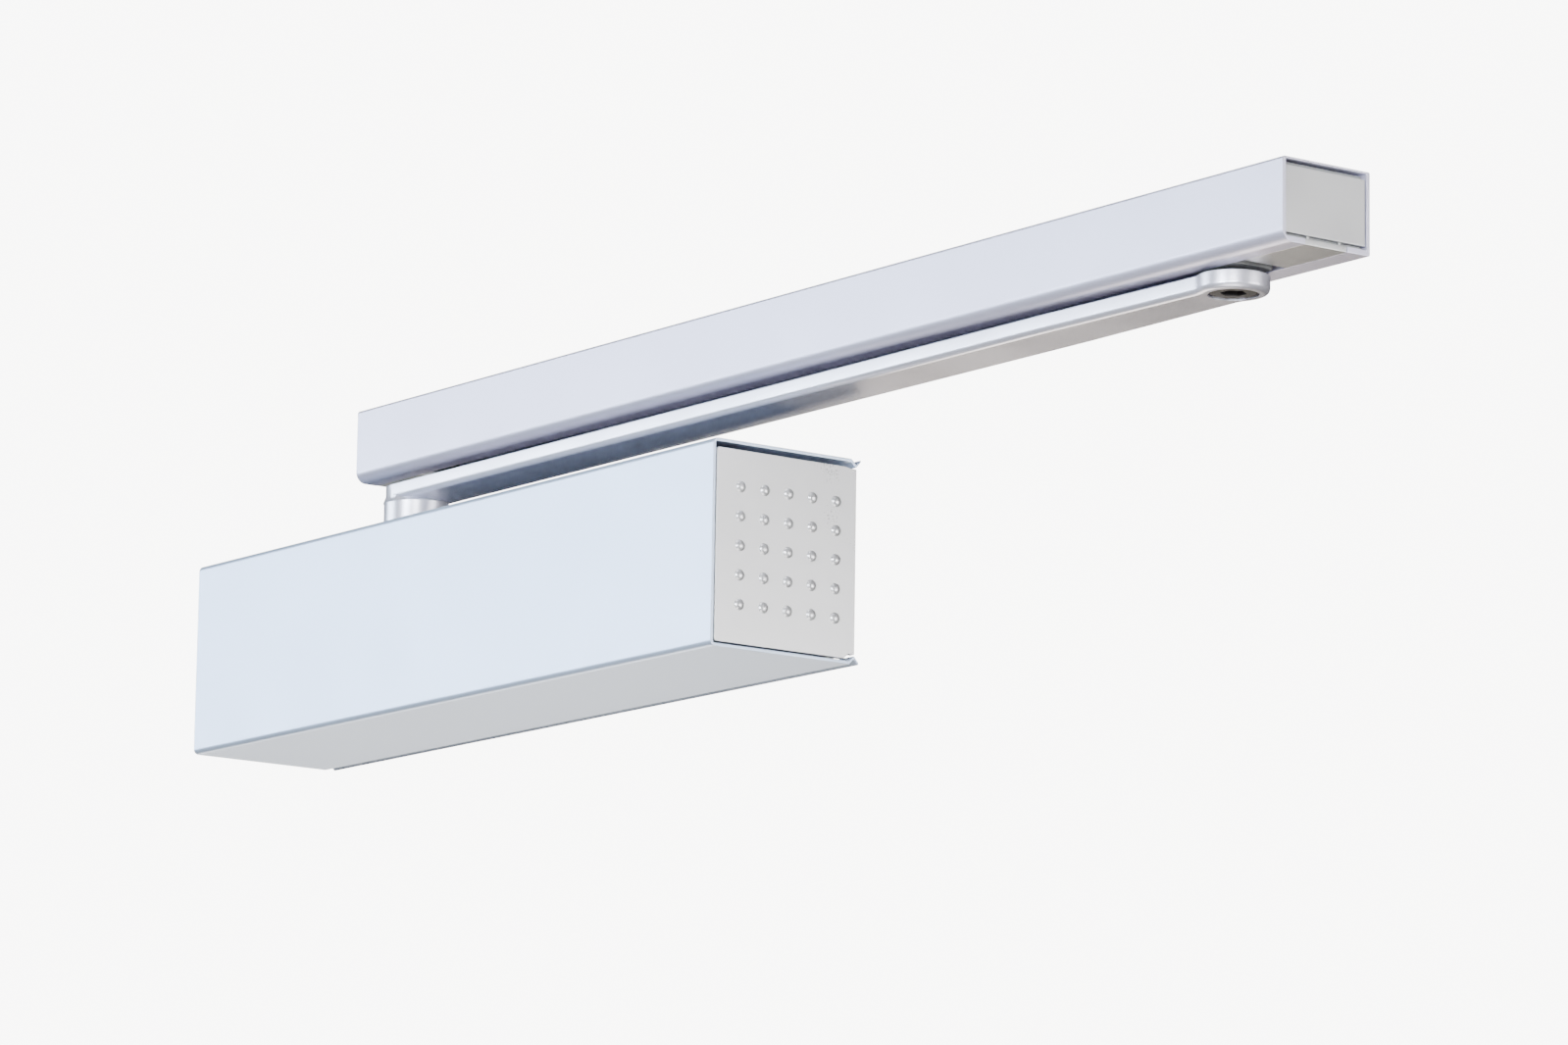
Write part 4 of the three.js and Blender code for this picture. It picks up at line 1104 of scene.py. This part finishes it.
def make_piston(name, side):
    """A piston with two ears that hold its roller; side points from the roller to the piston."""
    node = f"{name}_piston"
    low, high = box_mm(node)
    axle, axle_radius, *_ = cross_centre(f"{name}_roller_axle", "Z")
    face = axle[0] + side * FORK_REACH
    back = high[0] if side > 0 else low[0]
    steps = [(0, face), (PISTON_RADIUS - 0.5, face), (PISTON_RADIUS, face + side * 0.5)]
    if side < 0:
        _, _, ring_low, ring_high = cross_centre("piston_ring", "X")
        groove_from, groove_to = ring_high + CLEARANCE, ring_low - CLEARANCE
        steps += [(PISTON_RADIUS, groove_from), (PISTON_GROOVE_RADIUS, groove_from)]
        steps += [(PISTON_GROOVE_RADIUS, groove_to), (PISTON_RADIUS, groove_to)]
    steps += [(PISTON_RADIUS, back - side * 0.5), (PISTON_RADIUS - 0.5, back), (0, back)]
    piston = lathe(steps, "X", (axis_y, 0), 128)

    nose_start = 90 * side
    width = side * EAR_HALF_WIDTH
    shoulder, root = axle[0] + side * 4, face + side
    outline = arc(axle, EAR_RADIUS, nose_start, nose_start + 180, 24)
    outline += [(shoulder, axis_y - width), (root, axis_y - width)]
    outline += [(root, axis_y + width), (shoulder, axis_y + width)]
    for heights in ((EAR_INNER, EAR_OUTER), (-EAR_OUTER, -EAR_INNER)):
        combine(piston, [soften(prism(outline, "Z", *heights), 0.4, 2)], "UNION")

    tools = [bar(axle_radius + CLEARANCE, -20, 20, "Z", axle, sides=48)]
    for rod in ("front_tie_rod", "rear_tie_rod"):
        at, radius, rod_low, rod_high = cross_centre(rod, "X")
        tools.append(bar(radius + CLEARANCE, rod_low - CLEARANCE, rod_high + CLEARANCE, "X", at, sides=32))
    if side > 0:
        tools.append(hole(OIL_BORE_RADIUS, back, face + 10, "X", (axis_y, 0)))
    else:
        valve_bore = CHECK_VALVE_RADIUS + CLEARANCE
        tools.append(bar(valve_bore, low[0] - 1, high[0] + 1, "X", (axis_y, 0), sides=32))
    combine(piston, tools)
    finish(piston, f"{name}_side_piston", node)


make_spindle()
make_piston("spring", 1)
make_piston("damping", -1)
make_upper_cap()
make_lower_cap()
make_arm_screw()
for ring_node, (ring_name, ring_axis, inner_radius) in RINGS.items():
    ring_centre, outer_radius, ring_low, ring_high = cross_centre(ring_node, ring_axis)
    edge = min(0.4, (ring_high - ring_low) / 5, (outer_radius - inner_radius) / 5)
    ring = tube(outer_radius, inner_radius, ring_low, ring_high, ring_axis, ring_centre, edge)
    finish(ring, ring_name, ring_node)
for bar_node, (bar_name, bar_axis) in BARS.items():
    bar_centre, bar_radius, bar_low, bar_high = cross_centre(bar_node, bar_axis)
    finish(bar(bar_radius, bar_low, bar_high, bar_axis, bar_centre, 0.4), bar_name, bar_node)


# ---- What is inside the rail ----

BLOCK_CORNER = 2.5
NECK_CORNER = 2
NECK_INSET = 6  # from the slide block's ends to its neck in the slot
END_SCREW_HEAD = 4.2
END_SCREW_SHANK = 2.5


def rail_middle():
    """The rail's middle along Y, and the height of its lips' upper faces."""
    low, high = box_mm("rail_profile")
    return (low[1] + high[1]) / 2, low[2] + RAIL_LIP


def rounded_box(x0, y0, x1, y1, radius, bottom, top):
    """An upright block with rounded corners."""
    corners = [(x0, y0), (x1, y0), (x1, y1), (x0, y1)]
    return prism(rounded([(x, y, radius) for x, y in corners]), "Z", bottom, top)


def make_slide_block():
    """A block that slides on the rail's lips, with a neck in the slot and a hole for the pin."""
    low, high = box_mm("slide_block")
    middle, floor = rail_middle()
    block = rounded_box(low[0], low[1], high[0], high[1], BLOCK_CORNER, floor + CLEARANCE, high[2])
    soften(block, 0.5, 3)
    half = RAIL_SLOT / 2 - CLEARANCE
    neck_from, neck_to = low[0] + NECK_INSET, high[0] - NECK_INSET
    neck = rounded_box(neck_from, middle - half, neck_to, middle + half, NECK_CORNER, low[2], floor + 2)
    combine(block, [soften(neck, 0.3, 2)], "UNION")
    pin_top = box_mm("slide_pin")[1][2]
    combine(block, [hole(PIN_HOLE_RADIUS, low[2], pin_top + 0.5, "Z", (pin_x, pin_y))])
    finish(block, "rail_slider", "slide_block")


def make_rail_end(side):
    """What sits in one end of the rail: a block, the screw that fixes it, and a rubber buffer."""
    low, high = box_mm(f"rail_end_block_{side}")
    x, z = front_place(f"rail_end_screw_{side}")
    screw_low, screw_high = box_mm(f"rail_end_screw_{side}")
    head, tail = screw_low[1], screw_high[1]
    under = head + 4
    block = soften(slab(low, high), 0.4, 2)
    tools = [hole(END_SCREW_HEAD + 0.4, low[1], under + CLEARANCE, "Y", (x, z))]
    tools.append(bar(END_SCREW_SHANK + CLEARANCE, under - 1, high[1] + 1, "Y", (x, z)))
    finish(combine(block, tools), f"rail_block_{side}", f"rail_end_block_{side}")
    profile = [(0, head), (END_SCREW_HEAD - 0.5, head), (END_SCREW_HEAD, head + 0.5)]
    profile += [(END_SCREW_HEAD, under), (END_SCREW_SHANK, under), (END_SCREW_SHANK, tail - 0.5)]
    profile += [(END_SCREW_SHANK - 0.5, tail), (0, tail)]
    screw = combine(lathe(profile, "Y", (x, z)), hex_socket(2.3, head, head + 2.3, "Y", (x, z)))
    finish(screw, f"rail_screw_{side}", f"rail_end_screw_{side}")
    buffer = soften(slab(*box_mm(f"rail_buffer_{side}")), 0.7, 4)
    finish(buffer, f"rail_bumper_{side}", f"rail_buffer_{side}")


make_slide_block()
make_rail_end("left")
make_rail_end("right")
